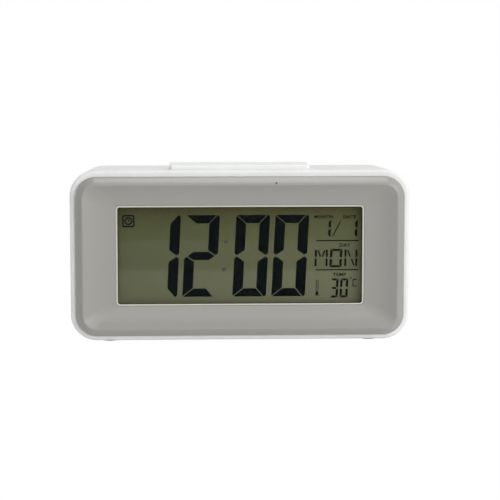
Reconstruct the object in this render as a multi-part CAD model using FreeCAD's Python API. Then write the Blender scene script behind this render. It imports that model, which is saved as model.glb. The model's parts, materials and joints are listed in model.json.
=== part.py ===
import FreeCAD, Part
import math
import os

# Desk clock with a liquid crystal display, a push bar on top and keys on its back.
# Millimetres. X runs to the right seen from the front, Y from front to back, Z up.
# The origin is on the table, under the middle of the clock.

# ---- Case: one deep tapered shell, open at the front ----
case_width = 135.0
case_height = 68.0
case_depth = 41.0
case_corner = 10.3
side_taper = 1.9            # each side draws in this much from mouth to back
top_taper = 1.0             # the top drops this much from mouth to back
case_wall = 1.8
rear_wall = 2.0
mouth_bevel = 0.5
rear_bevel = 1.8

# ---- Bezel: bevelled edge, raised ridge, dished face ----
bezel_gap = 0.15            # play between the bezel and the mouth
bezel_wall = 1.8
bezel_setback = 0.1         # the bevel starts this far behind the rim
bevel_width = 3.7           # across the bevel, and as much forward
skirt_depth = 3.4           # the skirt reaches this far behind the bevel
skirt_room = 0.6            # the mouth's straight seat goes this much deeper
ridge_land = 0.5            # flat along the top of the ridge
dish_depth = 3.0            # the window lies this far behind the ridge
window_inset_x = 18.9       # from the case's side to the window
window_inset_z = 14.7       # from the case's top or underside to the window
window_corner = 0.9
window_lip = 1.0            # wall behind the lens that frames the display
pad_margin = 2.0            # flat behind the dish, round the lens

# ---- Lens, laid into a rebate from the front ----
lens_thick = 1.2
lens_lap = 0.7              # the lens covers the lip this far all round
lens_gap = 0.1
lens_bevel = 0.5
lens_sink = 0.05

# ---- Display stack ----
glass_margin = 1.5          # glass beyond the visible area
glass_thick = 0.7
contact_ledge = 2.5         # the front glass stands out below the rear one
film_thick = 0.2
film_margin = 0.5
guide_thick = 2.5
guide_side_gap = 2.0        # room for the lamps at each end of the light guide
frame_lip = 0.8
frame_wall = 1.2
frame_gap = 0.2
zebra_thick = 2.0
zebra_short = 5.2           # the connector strip is this much shorter than the window
lamp_height = 3.5
lamp_thick = 1.4
lamp_spread = 20.0          # the two lamps' distance apart

# ---- Main board and what it carries ----
board_thick = 1.2
board_short = 32.0          # the boards are this much narrower than the case
board_low = 10.4            # the main board is this much lower than the case
post_radius = 2.0
post_inset_x = 7.5          # from the main board's end to its screws
post_inset_z = 1.9          # from the main board's long edge to its screws
blob_radius = 7.0
blob_rise = 1.8
crystal_radius = 1.5
crystal_length = 6.2
crystal_x = 11.0
crystal_z = 6.0
can_radius = 3.0
can_length = 7.0
can_x = -13.0
can_z = -8.0
chip_length = 2.0
chip_width = 1.25
chip_thick = 0.55
chip_pitch = 4.0
chip_count = 6
chip_x = 11.0
chip_z = -4.0

# ---- Case screws and the tubes that they stand in ----
screw_inset_x = 10.7
screw_inset_z = 9.8
tube_radius = 3.75
tube_bore = 2.7
tube_floor = 2.5
tube_web = 1.4
boss_radius = 3.0
boss_space = 3.0            # from the main board's back to the joint of boss and tube
screw_radius = 1.3
screw_clear = 0.15
screw_length = 10.0
screw_head_radius = 2.3
screw_head = 1.6
recess_width = 0.6
recess_span = 2.4
recess_depth = 0.7

# ---- Small screws that hold the boards ----
small_screw_radius = 0.9
small_screw_length = 5.0
small_head_radius = 1.7
small_head = 1.1
pilot_play = 0.03           # round a screw in the boss that it threads into
pilot_room = 0.6            # past a screw's tip

# ---- Battery bay for three cells, side by side ----
cell_radius = 5.25
cell_length = 44.5
cell_nub_radius = 1.9
cell_nub = 0.8
cell_space = 0.4            # between neighbouring cells
cell_count = 3
bay_play = 0.5              # above and below the cells
bay_depth_play = 0.8
contact_room = 5.5          # both end contacts together, along the cells
bay_wall = 1.6
bay_rise = 10.0             # bay floor above the case's underside
divider_height = 2.2
divider_thick = 0.8
divider_gap = 1.0           # from a divider's end to the bay's end wall
plate_thick = 0.35
plate_width = 8.6
tag_length = 4.0
tag_width = 3.0
tag_play = 0.2
spring_turns = 2.75
spring_wide = 3.6
spring_narrow = 2.4
spring_wire = 0.5
spring_steps = 10           # straight pieces in one turn
spring_sides = 4

# ---- Battery door ----
door_thick = 1.7
door_play = 0.2
door_lap = 1.5              # the door covers the bay's walls this far
door_sink = 0.1
hook_width = 6.0
hook_thick = 1.2
hook_reach = 1.6
hook_play = 0.4
hook_spread = 28.0
latch_width = 12.0
latch_drop = 5.0
latch_gap = 1.0
thumb_radius = 7.0
thumb_depth = 1.2
grip_drop = 9.0             # first grip groove below the door's top edge
grip_pitch = 1.8
grip_width = 1.0
grip_depth = 0.6
grip_count = 4

# ---- Keys on the back ----
key_width = 8.0
key_height = 5.0
key_corner = 2.4
key_proud = 1.0
key_play = 0.2
key_flange = 1.0
key_flange_thick = 1.0
stop_gap = 0.3              # from a flange to the wall that stops it
stem_side = 3.0
first_key_inset = 33.5      # from the case's side
key_top_space = 3.6         # wall and play above the room for the key row
key_names = ["set", "up", "down", "alarm", "unit"]

# ---- Tact switches under the keys and the push bar ----
switch_side = 6.0
switch_height = 3.4
plunger_side = 2.4
plunger_rise = 0.9
plunger_foot = 0.9
plunger_play = 0.1
press_travel = 0.5
press_room = 0.3            # depth left under a plunger that is pressed home

# ---- Board behind the keys ----
key_board_space = 6.3       # from the rear wall's inner face to the board
key_board_height = 10.6
key_post_inset = 2.5        # from the key board's end to its screw
key_post_radius = 2.0

# ---- Slide switch for the night light ----
slider_inset = 30.5         # from the case's side
slider_space = 15.0         # from the last key
slider_travel = 2.5
knob_width = 5.0
knob_height = 3.2
knob_proud = 0.6
knob_play = 0.25
knob_flange = 1.0
knob_cover = 0.5
knob_groove_count = 3
groove_width = 0.5
groove_depth = 0.3
slide_width = 9.0
slide_height = 4.6
slide_rise = 3.6
lever_side = 1.8
lever_rise = 1.4
lever_foot = 1.2
lever_play = 0.1

# ---- Push bar on top ----
bar_width = 56.0
bar_depth = 18.5
bar_setback = 5.0           # from the rim to the bar's front
bar_rise = 1.5              # above the rim's top edge
bar_corner = 2.4
bar_bevel = 0.7
bar_wall = 1.5
bar_roof = 1.6
bar_play = 0.2
bar_flange = 0.8
bar_flange_thick = 1.0
bar_stem_inset = 8.0        # from the bar's end to its stem
bar_rib = 1.0
snooze_board_drop = 10.8    # from the case's top to the board's upper face
snooze_board_depth = 11.0
snooze_post_space = 6.5     # from the bar's end to the board's screw
snooze_post_inset = 3.5     # from the board's end to its screw
snooze_post_radius = 2.0

# ---- Buzzer and the slots in front of it ----
buzzer_space = 4.1          # from the battery bay to the buzzer's ring
buzzer_rise = 25.0          # above the case's underside
disc_radius = 7.5
disc_thick = 0.25
ceramic_radius = 5.0
ceramic_thick = 0.2
ring_height = 2.6
ring_inside = 6.5
ring_outside = 8.6
sound_slot_count = 5
sound_slot_pitch = 2.2
sound_slot_width = 1.0
sound_slot_length = 8.0

# ---- Sensors ----
pinhole_radius = 0.4
pinhole_x = 14.5
pinhole_over_ridge = 0.3
sensor_radius = 1.2
sensor_length = 2.6
sensor_play = 0.1
collar_wall = 0.9
collar_length = 2.6
lead_side = 0.4
lead_pitch = 1.3
lead_drop = 2.2
vent_inset = 26.5           # from the case's side to the middle of the vents
vent_rise = 46.0            # middle of the vents above the case's underside
vent_height = 6.0
vent_width = 1.0
vent_pitch = 2.4
vent_count = 4
bead_radius = 1.2
bead_height = 2.0
bead_lead = 4.5

# ---- Feet ----
foot_radius = 3.2
foot_proud = 0.8
foot_inset_x = 15.5         # from the case's side to a foot's middle
foot_inset = 7.0            # from the mouth and from the back to a foot's middle

# ---- Wiring ----
wire_radius = 0.6
thin_wire_radius = 0.4
bend_share = 0.45           # of the shorter run beside a bend, taken up by the bend
lead_straight = 8.0         # first and last run of a battery lead
black_lead_inset = 10.5     # from the main board's end to the lead's joint
black_lead_rise = 12.0
red_lead_inset = 12.5
red_lead_drop = 8.0
thin_lead_straight = 9.0    # first and last run of a buzzer lead
thin_lead_rise = 6.0
ceramic_lead_shift = 3.0    # from the buzzer's middle to the lead's joint
plate_lead_shift = -2.0
ribbon_thick = 0.8
key_way_count = 7
snooze_way_count = 2
ribbon_pitch = 1.27
ribbon_rise = 4.4           # the key ribbon leaves its board this far above the lower edge
ribbon_bend = 2.5
ribbon_steps = 6            # straight pieces in a quarter bend

# ---- Flats on small round pieces, which keep the model light ----
post_sides = 12
disc_sides = 24
wire_sides = 5

# ---- Sizes and places worked out from the sizes above ----
window_width = case_width - 2 * window_inset_x
window_height = case_height - 2 * window_inset_z
zebra_length = window_width - zebra_short
board_width = case_width - board_short
board_height = case_height - board_low
post_x = board_width / 2 - post_inset_x
post_z = board_height / 2 - post_inset_z
bay_length = cell_length + contact_room
case_bottom = foot_proud
case_top = case_bottom + case_height
middle_z = case_bottom + case_height / 2
ridge_rise = bevel_width - bezel_setback
ridge_y = -(ridge_rise + case_depth + key_proud) / 2
rim_y = ridge_y + ridge_rise
rear_y = rim_y + case_depth
rear_inner_y = rear_y - rear_wall
bezel_y = rim_y + bezel_setback
skirt_y = bezel_y + skirt_depth
window_y = ridge_y + dish_depth
lens_y = window_y + lens_sink
ledge_y = lens_y + lens_thick
pad_y = ledge_y + window_lip
glass_y = pad_y + frame_lip
rear_glass_y = glass_y + glass_thick
film_y = rear_glass_y + glass_thick
guide_y = film_y + film_thick
board_y = guide_y + guide_thick
board_back_y = board_y + board_thick
seat_y = board_back_y + boss_space
root_y = ridge_y + bezel_wall
bezel_inset = case_wall + bezel_gap
bezel_corner = case_corner - bezel_inset
ridge_inset = bezel_inset + bevel_width
lens_room = lens_lap + lens_gap
screw_x = case_width / 2 - screw_inset_x
screw_low_z = case_bottom + screw_inset_z
screw_high_z = case_top - screw_inset_z

glass_half = window_width / 2 + glass_margin
glass_reach = window_height / 2 + glass_margin

cell_pitch = 2 * cell_radius + cell_space
bay_height = cell_count * cell_pitch - cell_space + 2 * bay_play
bay_z = case_bottom + bay_rise
bay_high_z = bay_z + bay_height
door_back_y = rear_y - door_sink - door_thick
bay_floor_y = door_back_y - 2 * cell_radius - bay_depth_play
cell_y = door_back_y - bay_depth_play / 2 - cell_radius
door_half = bay_length / 2 + door_lap
door_low_z = bay_z - door_lap
door_high_z = bay_high_z + door_lap
hinge_y = door_back_y + door_thick / 2
hinge_z = door_low_z + door_thick / 2
bay_outer_half = door_half + door_play + bay_wall
bay_outer_top = door_high_z + door_play + bay_wall
tag_end = bay_outer_half + tag_length

key_board_width = case_width - board_short
key_post_x = key_board_width / 2 - key_post_inset
first_key_x = case_width / 2 - first_key_inset
slider_x = slider_inset - case_width / 2
key_pitch = (first_key_x - slider_x - slider_space) / (len(key_names) - 1)
key_z = (bay_outer_top + case_top - key_top_space) / 2
key_board_y = rear_inner_y - key_board_space
key_board_front_y = key_board_y - board_thick
key_board_low_z = key_z - key_board_height / 2
plunger_y = key_board_y + switch_height + plunger_rise
key_flange_y = rear_inner_y - stop_gap
slide_middle_x = slider_x - slider_travel / 2
slide_top_y = key_board_y + slide_rise

bar_stem_x = bar_width / 2 - bar_stem_inset
snooze_post_x = bar_width / 2 + snooze_post_space
snooze_board_width = 2 * (snooze_post_x + snooze_post_inset)
bar_front_y = rim_y + bar_setback
bar_back_y = bar_front_y + bar_depth
bar_y = (bar_front_y + bar_back_y) / 2
bar_top = case_top + bar_rise
snooze_board_z = case_top - snooze_board_drop
snooze_plunger_z = snooze_board_z + switch_height + plunger_rise

buzzer_x = -(bay_outer_half + buzzer_space + ring_outside)
buzzer_z = case_bottom + buzzer_rise
disc_y = rear_inner_y - ring_height
pinhole_z = case_top - ridge_inset + pinhole_over_ridge
vent_x = case_width / 2 - vent_inset
vent_z = case_bottom + vent_rise
foot_x = case_width / 2 - foot_inset_x
black_lead_x = black_lead_inset - board_width / 2
red_lead_x = board_width / 2 - red_lead_inset


def at(x, y, z):
    return FreeCAD.Vector(x, y, z)


backward = at(0, 1, 0)
upward = at(0, 0, 1)
past = 1.0                  # a cut runs this far out of the face that it opens
mitred = 1                  # runs of a sweep meet in a mitre where its path has a corner


# ---------------------------------------------------------------- simple shapes

def block(low_x, high_x, low_y, high_y, low_z, high_z):
    return Part.makeBox(high_x - low_x, high_y - low_y, high_z - low_z, at(low_x, low_y, low_z))


def slab(half_width, low_y, high_y, low_z, high_z):
    """Block centred on the middle of the clock."""
    return block(-half_width, half_width, low_y, high_y, low_z, high_z)


def drawn(wire, direction):
    """Solid that an outline leaves when it moves along a direction."""
    return Part.Face(wire).extrude(direction)


def fused(shapes):
    return shapes[0].multiFuse(shapes[1:]).removeSplitter()


def bar(start, axis, radius, length, sides=0):
    """Round bar from start along axis; with sides it has that many flats."""
    if not sides:
        return Part.makeCylinder(radius, length, start, axis)
    turn = FreeCAD.Rotation(upward, axis)
    angles = [2 * math.pi * (index + 0.5) / sides for index in range(sides)]
    corners = [start + turn.multVec(at(radius * math.cos(a), radius * math.sin(a), 0)) for a in angles]
    return drawn(Part.makePolygon(corners + corners[:1]), axis * length)


def bar_back(x, z, radius, low_y, high_y, sides=0):
    return bar(at(x, low_y, z), backward, radius, high_y - low_y, sides)


def bar_up(x, y, radius, low_z, high_z, sides=0):
    return bar(at(x, y, low_z), upward, radius, high_z - low_z, sides)


def edges_along(shape, low_y, high_y):
    """Edges that run from front to back between two depths."""
    return [e for e in shape.Edges if e.BoundBox.YLength > (high_y - low_y) / 2]


def edges_before(shape, y):
    return [e for e in shape.Edges if e.BoundBox.YMax < y]


def edges_behind(shape, y):
    return [e for e in shape.Edges if e.BoundBox.YMin > y]


def upright_prism(half_width, low_z, high_z, low_y, high_y, corner, middle_x=0.0):
    """Straight bar from front to back whose four long edges are rounded."""
    body = block(middle_x - half_width, middle_x + half_width, low_y, high_y, low_z, high_z)
    return body.makeFillet(corner, edges_along(body, low_y, high_y))


def level_prism(half_width, low_y, high_y, low_z, high_z, corner):
    """Flat plate whose four upright edges are rounded."""
    body = slab(half_width, low_y, high_y, low_z, high_z)
    return body.makeFillet(corner, [e for e in body.Edges if e.BoundBox.ZLength > (high_z - low_z) / 2])


def tapered_box(low_y, high_y, front, back):
    """Box between two rectangles, each given as half width, low z and high z."""
    half, low, high = front
    back_half, back_low, back_high = back
    return Part.makeWedge(-half, low_y, low, back_low, -back_half, half, high_y, high, back_high, back_half)


def screw(start, axis, radius, length, head_radius, head, head_sides):
    """Pan-head screw; start is under its head and axis points to its tip."""
    shank = bar(start, axis, radius, length, post_sides)
    return shank.fuse(bar(start, axis * -1, head_radius, head, head_sides)).removeSplitter()


def centred(low, high, count, pitch):
    """Middles of a row of equal features, centred between two places."""
    middle = (low + high) / 2
    return [middle + (index - (count - 1) / 2) * pitch for index in range(count)]


# ---------------------------------------------------------------- where repeated pieces go

def screw_places():
    return [(side * screw_x, z) for side in (-1, 1) for z in (screw_low_z, screw_high_z)]


def board_post_places():
    return [(side * post_x, middle_z + way * post_z) for side in (-1, 1) for way in (-1, 1)]


def key_places():
    return [(name, first_key_x - index * key_pitch) for index, name in enumerate(key_names)]


def foot_places():
    return [(side * foot_x, y) for side in (-1, 1) for y in (rim_y + foot_inset, rear_y - foot_inset)]


def cell_heights():
    return [bay_z + bay_play + cell_radius + index * cell_pitch for index in range(cell_count)]


# ---------------------------------------------------------------- case

def case_section(y, inset):
    """Half width and heights of the case's outside at depth y, drawn in by inset."""
    share = (y - rim_y) / case_depth
    half = case_width / 2 - side_taper * share - inset
    return half, case_bottom + inset, case_top - top_taper * share - inset


def top_inside(y):
    return case_section(y, case_wall)[2]


def case_shell():
    outer = tapered_box(rim_y, rear_y, case_section(rim_y, 0), case_section(rear_y, 0))
    outer = outer.makeFillet(case_corner, edges_along(outer, rim_y, rear_y))
    outer = outer.makeChamfer(rear_bevel, edges_behind(outer, rear_y - mouth_bevel))
    outer = outer.makeChamfer(mouth_bevel, edges_before(outer, rim_y + mouth_bevel))
    room_y = skirt_y + skirt_room
    room = tapered_box(room_y, rear_inner_y, case_section(room_y, case_wall),
                       case_section(rear_inner_y, case_wall))
    room = room.makeFillet(case_corner - case_wall, edges_along(room, room_y, rear_inner_y))
    half, low, high = case_section(rim_y, case_wall)
    seat = upright_prism(half, low, high, rim_y - past, room_y, case_corner - case_wall)
    return outer.cut([room, seat])


def screw_tubes():
    """Tubes from the rear wall forward to the bezel's bosses, each with a web to the side wall."""
    tubes = []
    for x, z in screw_places():
        tubes.append(bar_back(x, z, tube_radius, seat_y, rear_inner_y + rear_wall / 2, post_sides))
        wall_x = math.copysign(case_width / 2 - side_taper - case_wall / 2, x)
        low_x, high_x = sorted((x, wall_x))
        tubes.append(block(low_x, high_x, seat_y + tube_radius, rear_inner_y + rear_wall / 2,
                           z - tube_web / 2, z + tube_web / 2))
    return tubes


def tube_bores():
    bores = []
    for x, z in screw_places():
        bores.append(bar_back(x, z, tube_bore, seat_y + tube_floor, rear_y + past, disc_sides))
        bores.append(bar_back(x, z, screw_radius + screw_clear, seat_y - past, seat_y + tube_floor + past,
                              post_sides))
    return bores


def bay_box():
    """Outside of the battery bay and of the seat for its door."""
    return slab(bay_outer_half, bay_floor_y - bay_wall, rear_inner_y + rear_wall / 2,
                door_low_z - door_play - bay_wall, bay_outer_top)


def hook_slots():
    """Slots under the door's lower edge, where its hooks turn."""
    swing = math.hypot(door_thick / 2 + hook_thick, door_thick / 2 + hook_reach) + hook_play
    half_slot = hook_width / 2 + hook_play
    return [block(side * hook_spread / 2 - half_slot, side * hook_spread / 2 + half_slot, hinge_y - swing,
                  door_back_y, door_low_z - hook_reach - hook_play, bay_z + past) for side in (-1, 1)]


def bay_hollows():
    seat_half = door_half + door_play
    hollows = [
        slab(bay_length / 2, bay_floor_y, rear_y + past, bay_z, bay_high_z),
        slab(seat_half, door_back_y, rear_y + past, door_low_z - door_play, door_high_z + door_play),
        bar_up(0, rear_y + thumb_radius - thumb_depth, thumb_radius, door_high_z,
               door_high_z + door_play + latch_gap),
    ]
    return hollows + hook_slots()


def bay_dividers():
    """Low fins on the bay's floor that keep the cells apart."""
    heights = cell_heights()
    half = bay_length / 2 - plate_thick - divider_gap
    return [slab(half, bay_floor_y - bay_wall / 2, bay_floor_y + divider_height,
                 (low + high) / 2 - divider_thick / 2, (low + high) / 2 + divider_thick / 2)
            for low, high in zip(heights, heights[1:])]


def tag_slots():
    """Slots in the bay's end walls for the two solder tags."""
    low, _, high = cell_heights()
    half_width = tag_width / 2 + tag_play
    half_thick = plate_thick / 2 + tag_play
    slots = []
    for side, z in ((-1, low), (1, high)):
        low_x, high_x = sorted((side * bay_length / 2, side * (bay_outer_half + past)))
        slots.append(block(low_x, high_x, cell_y - half_width, cell_y + half_width,
                           z - half_thick, z + half_thick))
    return slots


def key_holes():
    low_z, high_z = key_z - key_height / 2 - key_play, key_z + key_height / 2 + key_play
    holes = [upright_prism(key_width / 2 + key_play, low_z, high_z, rear_inner_y - past, rear_y + past,
                           key_corner + key_play, x) for _, x in key_places()]
    half_slot = (knob_width + slider_travel) / 2 + knob_play
    reach = knob_height / 2 + knob_play
    holes.append(block(slide_middle_x - half_slot, slide_middle_x + half_slot, rear_inner_y - past,
                       rear_y + past, key_z - reach, key_z + reach))
    return holes


def pilot_radius():
    return small_screw_radius + pilot_play


def pilot_length():
    """Depth of a small screw's hole past the board that it holds."""
    return small_screw_length - board_thick + pilot_room


def key_board_posts():
    return [bar_back(side * key_post_x, key_z, key_post_radius, key_board_y, rear_inner_y + rear_wall / 2,
                     post_sides) for side in (-1, 1)]


def key_post_pilots():
    return [bar_back(side * key_post_x, key_z, pilot_radius(), key_board_y - past,
                     key_board_y + pilot_length(), post_sides) for side in (-1, 1)]


def snooze_posts():
    """Posts that hang from the case's top and carry the board under the push bar."""
    return [bar_up(side * snooze_post_x, bar_y, snooze_post_radius, snooze_board_z,
                   top_inside(bar_y) + case_wall / 2, post_sides) for side in (-1, 1)]


def snooze_post_pilots():
    return [bar_up(side * snooze_post_x, bar_y, pilot_radius(), snooze_board_z - past,
                   snooze_board_z + pilot_length(), post_sides) for side in (-1, 1)]


def bar_opening():
    return level_prism(bar_width / 2 + bar_play, bar_front_y - bar_play, bar_back_y + bar_play,
                       top_inside(rear_y) - past, case_top + past, bar_corner + bar_play)


def buzzer_ring():
    outer = bar_back(buzzer_x, buzzer_z, ring_outside, disc_y, rear_inner_y + rear_wall / 2, disc_sides)
    return outer.cut(bar_back(buzzer_x, buzzer_z, ring_inside, disc_y - past, rear_inner_y, disc_sides))


def rear_slots():
    """Slots that let the buzzer's sound out, and slots that let room air in to the sensor."""
    slots = [block(x - sound_slot_width / 2, x + sound_slot_width / 2, rear_inner_y - past, rear_y + past,
                   buzzer_z - sound_slot_length / 2, buzzer_z + sound_slot_length / 2)
             for x in centred(buzzer_x, buzzer_x, sound_slot_count, sound_slot_pitch)]
    return slots + [block(x - vent_width / 2, x + vent_width / 2, rear_inner_y - past, rear_y + past,
                          vent_z - vent_height / 2, vent_z + vent_height / 2)
                    for x in centred(vent_x, vent_x, vent_count, vent_pitch)]


def rear_case():
    added = screw_tubes() + [bay_box(), buzzer_ring()] + key_board_posts() + snooze_posts()
    body = fused([case_shell()] + added)
    body = body.cut(tube_bores() + bay_hollows() + tag_slots() + key_holes() + key_post_pilots()
                    + snooze_post_pilots() + [bar_opening()] + rear_slots())
    return fused([body] + bay_dividers())


# ---------------------------------------------------------------- bezel and lens

def ridge_section(inset):
    return (case_width / 2 - ridge_inset - inset, case_bottom + ridge_inset + inset,
            case_top - ridge_inset - inset)


def window_section(grow):
    reach = window_height / 2 + grow
    return window_width / 2 + grow, middle_z - reach, middle_z + reach


def window_prism(low_y, high_y, grow, corner):
    half, low, high = window_section(grow)
    return upright_prism(half, low, high, low_y, high_y, corner)


def dish():
    """Room in front of the bezel's face, from the ridge back to the lens."""
    return tapered_box(ridge_y, window_y, ridge_section(ridge_land), window_section(lens_room))


def bevelled_prism(inset, front_y, back_y, bevel):
    """Prism of the mouth's shape, drawn in by inset, with its front edge bevelled."""
    half, low, high = case_section(rim_y, bezel_inset + inset)
    body = upright_prism(half, low, high, front_y, back_y, bezel_corner - inset)
    return body.makeChamfer(bevel, edges_before(body, front_y + bevel / 2))


def bezel_hollow():
    """Space behind the bezel, whose walls keep about one thickness under bevel and dish."""
    inner_bevel = bevel_width - bezel_wall * (2 - math.sqrt(2))
    hollow = bevelled_prism(bezel_wall, root_y, skirt_y + past, inner_bevel)
    pad = window_section(lens_room + pad_margin)
    pad_front_y = window_y + bezel_wall
    backing = tapered_box(root_y, pad_front_y, ridge_section(0), pad)
    half, low, high = pad
    return hollow.cut([backing, slab(half, root_y, pad_y, low, high)])


def front_bezel():
    shell = bevelled_prism(0, ridge_y, skirt_y, bevel_width).cut([dish(), bezel_hollow()])
    carried = [bar_back(x, z, boss_radius, root_y, seat_y, post_sides) for x, z in screw_places()]
    carried += [bar_back(x, z, post_radius, root_y, board_y, post_sides) for x, z in board_post_places()]
    carried.append(bar_back(pinhole_x, pinhole_z, sensor_radius + sensor_play + collar_wall,
                            root_y, root_y + collar_length, post_sides))
    body = fused([shell] + carried)
    case_pilot = screw_radius + pilot_play
    pilot_end_y = seat_y + tube_floor - screw_length - pilot_room
    removed = [bar_back(x, z, case_pilot, pilot_end_y, seat_y + past, post_sides) for x, z in screw_places()]
    removed += [bar_back(x, z, pilot_radius(), board_y - pilot_length(), board_y + past, post_sides)
                for x, z in board_post_places()]
    removed.append(bar_back(pinhole_x, pinhole_z, pinhole_radius, ridge_y - past, root_y + past, post_sides))
    removed.append(bar_back(pinhole_x, pinhole_z, sensor_radius + sensor_play, root_y,
                            root_y + collar_length + past, post_sides))
    removed.append(window_prism(window_y - past, ledge_y, lens_room, window_corner + lens_room / 2))
    removed.append(window_prism(window_y - past, pad_y + past, 0, window_corner))
    return body.cut(removed)


def display_lens():
    plate = window_prism(lens_y, ledge_y, lens_lap, window_corner + lens_lap / 2)
    return plate.makeChamfer(lens_bevel, edges_before(plate, lens_y + lens_bevel / 2))


# ---------------------------------------------------------------- display stack

def glass_plate(low_y, thick, grow_down=0.0, margin=0.0):
    return slab(glass_half - margin, low_y, low_y + thick, middle_z - glass_reach - grow_down + margin,
                middle_z + glass_reach - margin)


def light_guide():
    return slab(glass_half - guide_side_gap, guide_y, board_y, middle_z - glass_reach, middle_z + glass_reach)


def backlight_lamps():
    edge = guide_side_gap - glass_half
    return [block(edge - lamp_thick, edge, board_y - lamp_thick, board_y,
                  z - lamp_height / 2, z + lamp_height / 2)
            for z in centred(middle_z, middle_z, 2, lamp_spread)]


def display_frame():
    """White frame that holds glass, light guide and connector strip against the board."""
    half = glass_half + frame_gap
    low, high = middle_z - glass_reach - contact_ledge - frame_gap, middle_z + glass_reach + frame_gap
    body = slab(half + frame_wall, pad_y, board_y, low - frame_wall, high + frame_wall)
    view_half, view_low, view_high = window_section(glass_margin / 2)
    return body.cut([slab(half, glass_y, board_y + past, low, high),
                     slab(view_half, pad_y - past, glass_y + past, view_low, view_high)])


def front_polarizer():
    margin = glass_margin - film_margin
    return glass_plate(glass_y - film_thick, film_thick, 0, margin)


def zebra_strip():
    middle = middle_z - glass_reach - contact_ledge / 2
    return slab(zebra_length / 2, rear_glass_y, board_y, middle - zebra_thick / 2, middle + zebra_thick / 2)


# ---------------------------------------------------------------- main board

def main_board():
    body = slab(board_width / 2, board_y, board_back_y,
                middle_z - board_height / 2, middle_z + board_height / 2)
    return body.cut([bar_back(x, z, small_screw_radius + screw_clear, board_y - past, board_back_y + past,
                              post_sides) for x, z in board_post_places()])


def chip_blob():
    """Drop of resin over the clock's chip."""
    return bar_back(0, middle_z, blob_radius, board_back_y, board_back_y + blob_rise, disc_sides)


def quartz_crystal():
    start = at(crystal_x, board_back_y + crystal_radius, middle_z + crystal_z)
    return bar(start, at(1, 0, 0), crystal_radius, crystal_length, post_sides)


def capacitor():
    low_z = middle_z + can_z
    return bar_up(can_x, board_back_y + can_radius, can_radius, low_z, low_z + can_length, disc_sides)


def chip_parts():
    low_z = middle_z + chip_z
    return [block(x, x + chip_width, board_back_y, board_back_y + chip_thick, low_z, low_z + chip_length)
            for x in (chip_x + index * chip_pitch for index in range(chip_count))]


def case_screws():
    """Pan-head screws with a cross recess, driven from behind through the tubes."""
    screws = []
    for x, z in screw_places():
        head_y = seat_y + tube_floor
        body = screw(at(x, head_y, z), backward * -1, screw_radius, screw_length,
                     screw_head_radius, screw_head, disc_sides)
        low_y, high_y = head_y + screw_head - recess_depth, head_y + screw_head + past
        span, width = recess_span / 2, recess_width / 2
        cross = block(x - span, x + span, low_y, high_y, z - width, z + width)
        screws.append(body.cut(cross.fuse(block(x - width, x + width, low_y, high_y, z - span, z + span))))
    return screws


def small_screw(start, axis):
    return screw(start, axis, small_screw_radius, small_screw_length, small_head_radius, small_head,
                 post_sides)


def board_screws():
    return [small_screw(at(x, board_back_y, z), backward * -1) for x, z in board_post_places()]


def key_board_screws():
    return [small_screw(at(side * key_post_x, key_board_front_y, key_z), backward) for side in (-1, 1)]


def snooze_board_screws():
    return [small_screw(at(side * snooze_post_x, bar_y, snooze_board_z - board_thick), upward)
            for side in (-1, 1)]


# ---------------------------------------------------------------- sensors

def light_sensor():
    """Sensor behind the pinhole, on two leads bent down and back to the main board."""
    front_y = root_y + stop_gap
    back_y = front_y + sensor_length
    bend_y = back_y + lead_side
    low_z = pinhole_z - lead_drop
    pieces = [bar_back(pinhole_x, pinhole_z, sensor_radius, front_y, back_y, post_sides)]
    for side in (-1, 1):
        low_x = pinhole_x + side * lead_pitch / 2 - lead_side / 2
        high_x = low_x + lead_side
        pieces.append(block(low_x, high_x, back_y, bend_y + lead_side, pinhole_z, pinhole_z + lead_side))
        pieces.append(block(low_x, high_x, bend_y, bend_y + lead_side, low_z, pinhole_z + lead_side))
        pieces.append(block(low_x, high_x, bend_y, board_y, low_z, low_z + lead_side))
    return fused(pieces)


def temperature_sensor():
    """Bead below the key board, near the vents, on two leads soldered to the board's back."""
    low_z = key_board_low_z - bead_height - lead_side
    lead_y = key_board_y + lead_side / 2
    pieces = [bar_up(vent_x, lead_y, bead_radius, low_z, low_z + bead_height, post_sides)]
    for side in (-1, 1):
        low_x = vent_x + side * lead_pitch / 2 - lead_side / 2
        pieces.append(block(low_x, low_x + lead_side, key_board_y, key_board_y + lead_side,
                            low_z + bead_height / 2, low_z + bead_height / 2 + bead_lead))
    return fused(pieces)


# ---------------------------------------------------------------- tact switches

def square_bar(start, axis, side, length):
    """Square bar centred on its start; axis is backward or upward."""
    half = side / 2
    low_x, high_x = start.x - half, start.x + half
    if axis == backward:
        return block(low_x, high_x, start.y, start.y + length, start.z - half, start.z + half)
    return block(low_x, high_x, start.y - half, start.y + half, start.z, start.z + length)


def switch_body(start, axis):
    """Tact switch with a well for its plunger; start is the middle of its foot."""
    well = plunger_foot + press_travel + press_room
    body = square_bar(start, axis, switch_side, switch_height)
    return body.cut(square_bar(start + axis * (switch_height - well), axis, plunger_side + 2 * plunger_play,
                               well + past))


def switch_plunger(start, axis):
    foot = start + axis * (switch_height - plunger_foot)
    return square_bar(foot, axis, plunger_side, plunger_foot + plunger_rise)


def snooze_places():
    return [at(side * bar_stem_x, bar_y, snooze_board_z) for side in (-1, 1)]


# ---------------------------------------------------------------- key board and keys

def key_board():
    body = slab(key_board_width / 2, key_board_front_y, key_board_y, key_board_low_z,
                key_board_low_z + key_board_height)
    return body.cut([bar_back(side * key_post_x, key_z, small_screw_radius + screw_clear,
                              key_board_front_y - past, key_board_y + past, post_sides) for side in (-1, 1)])


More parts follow.
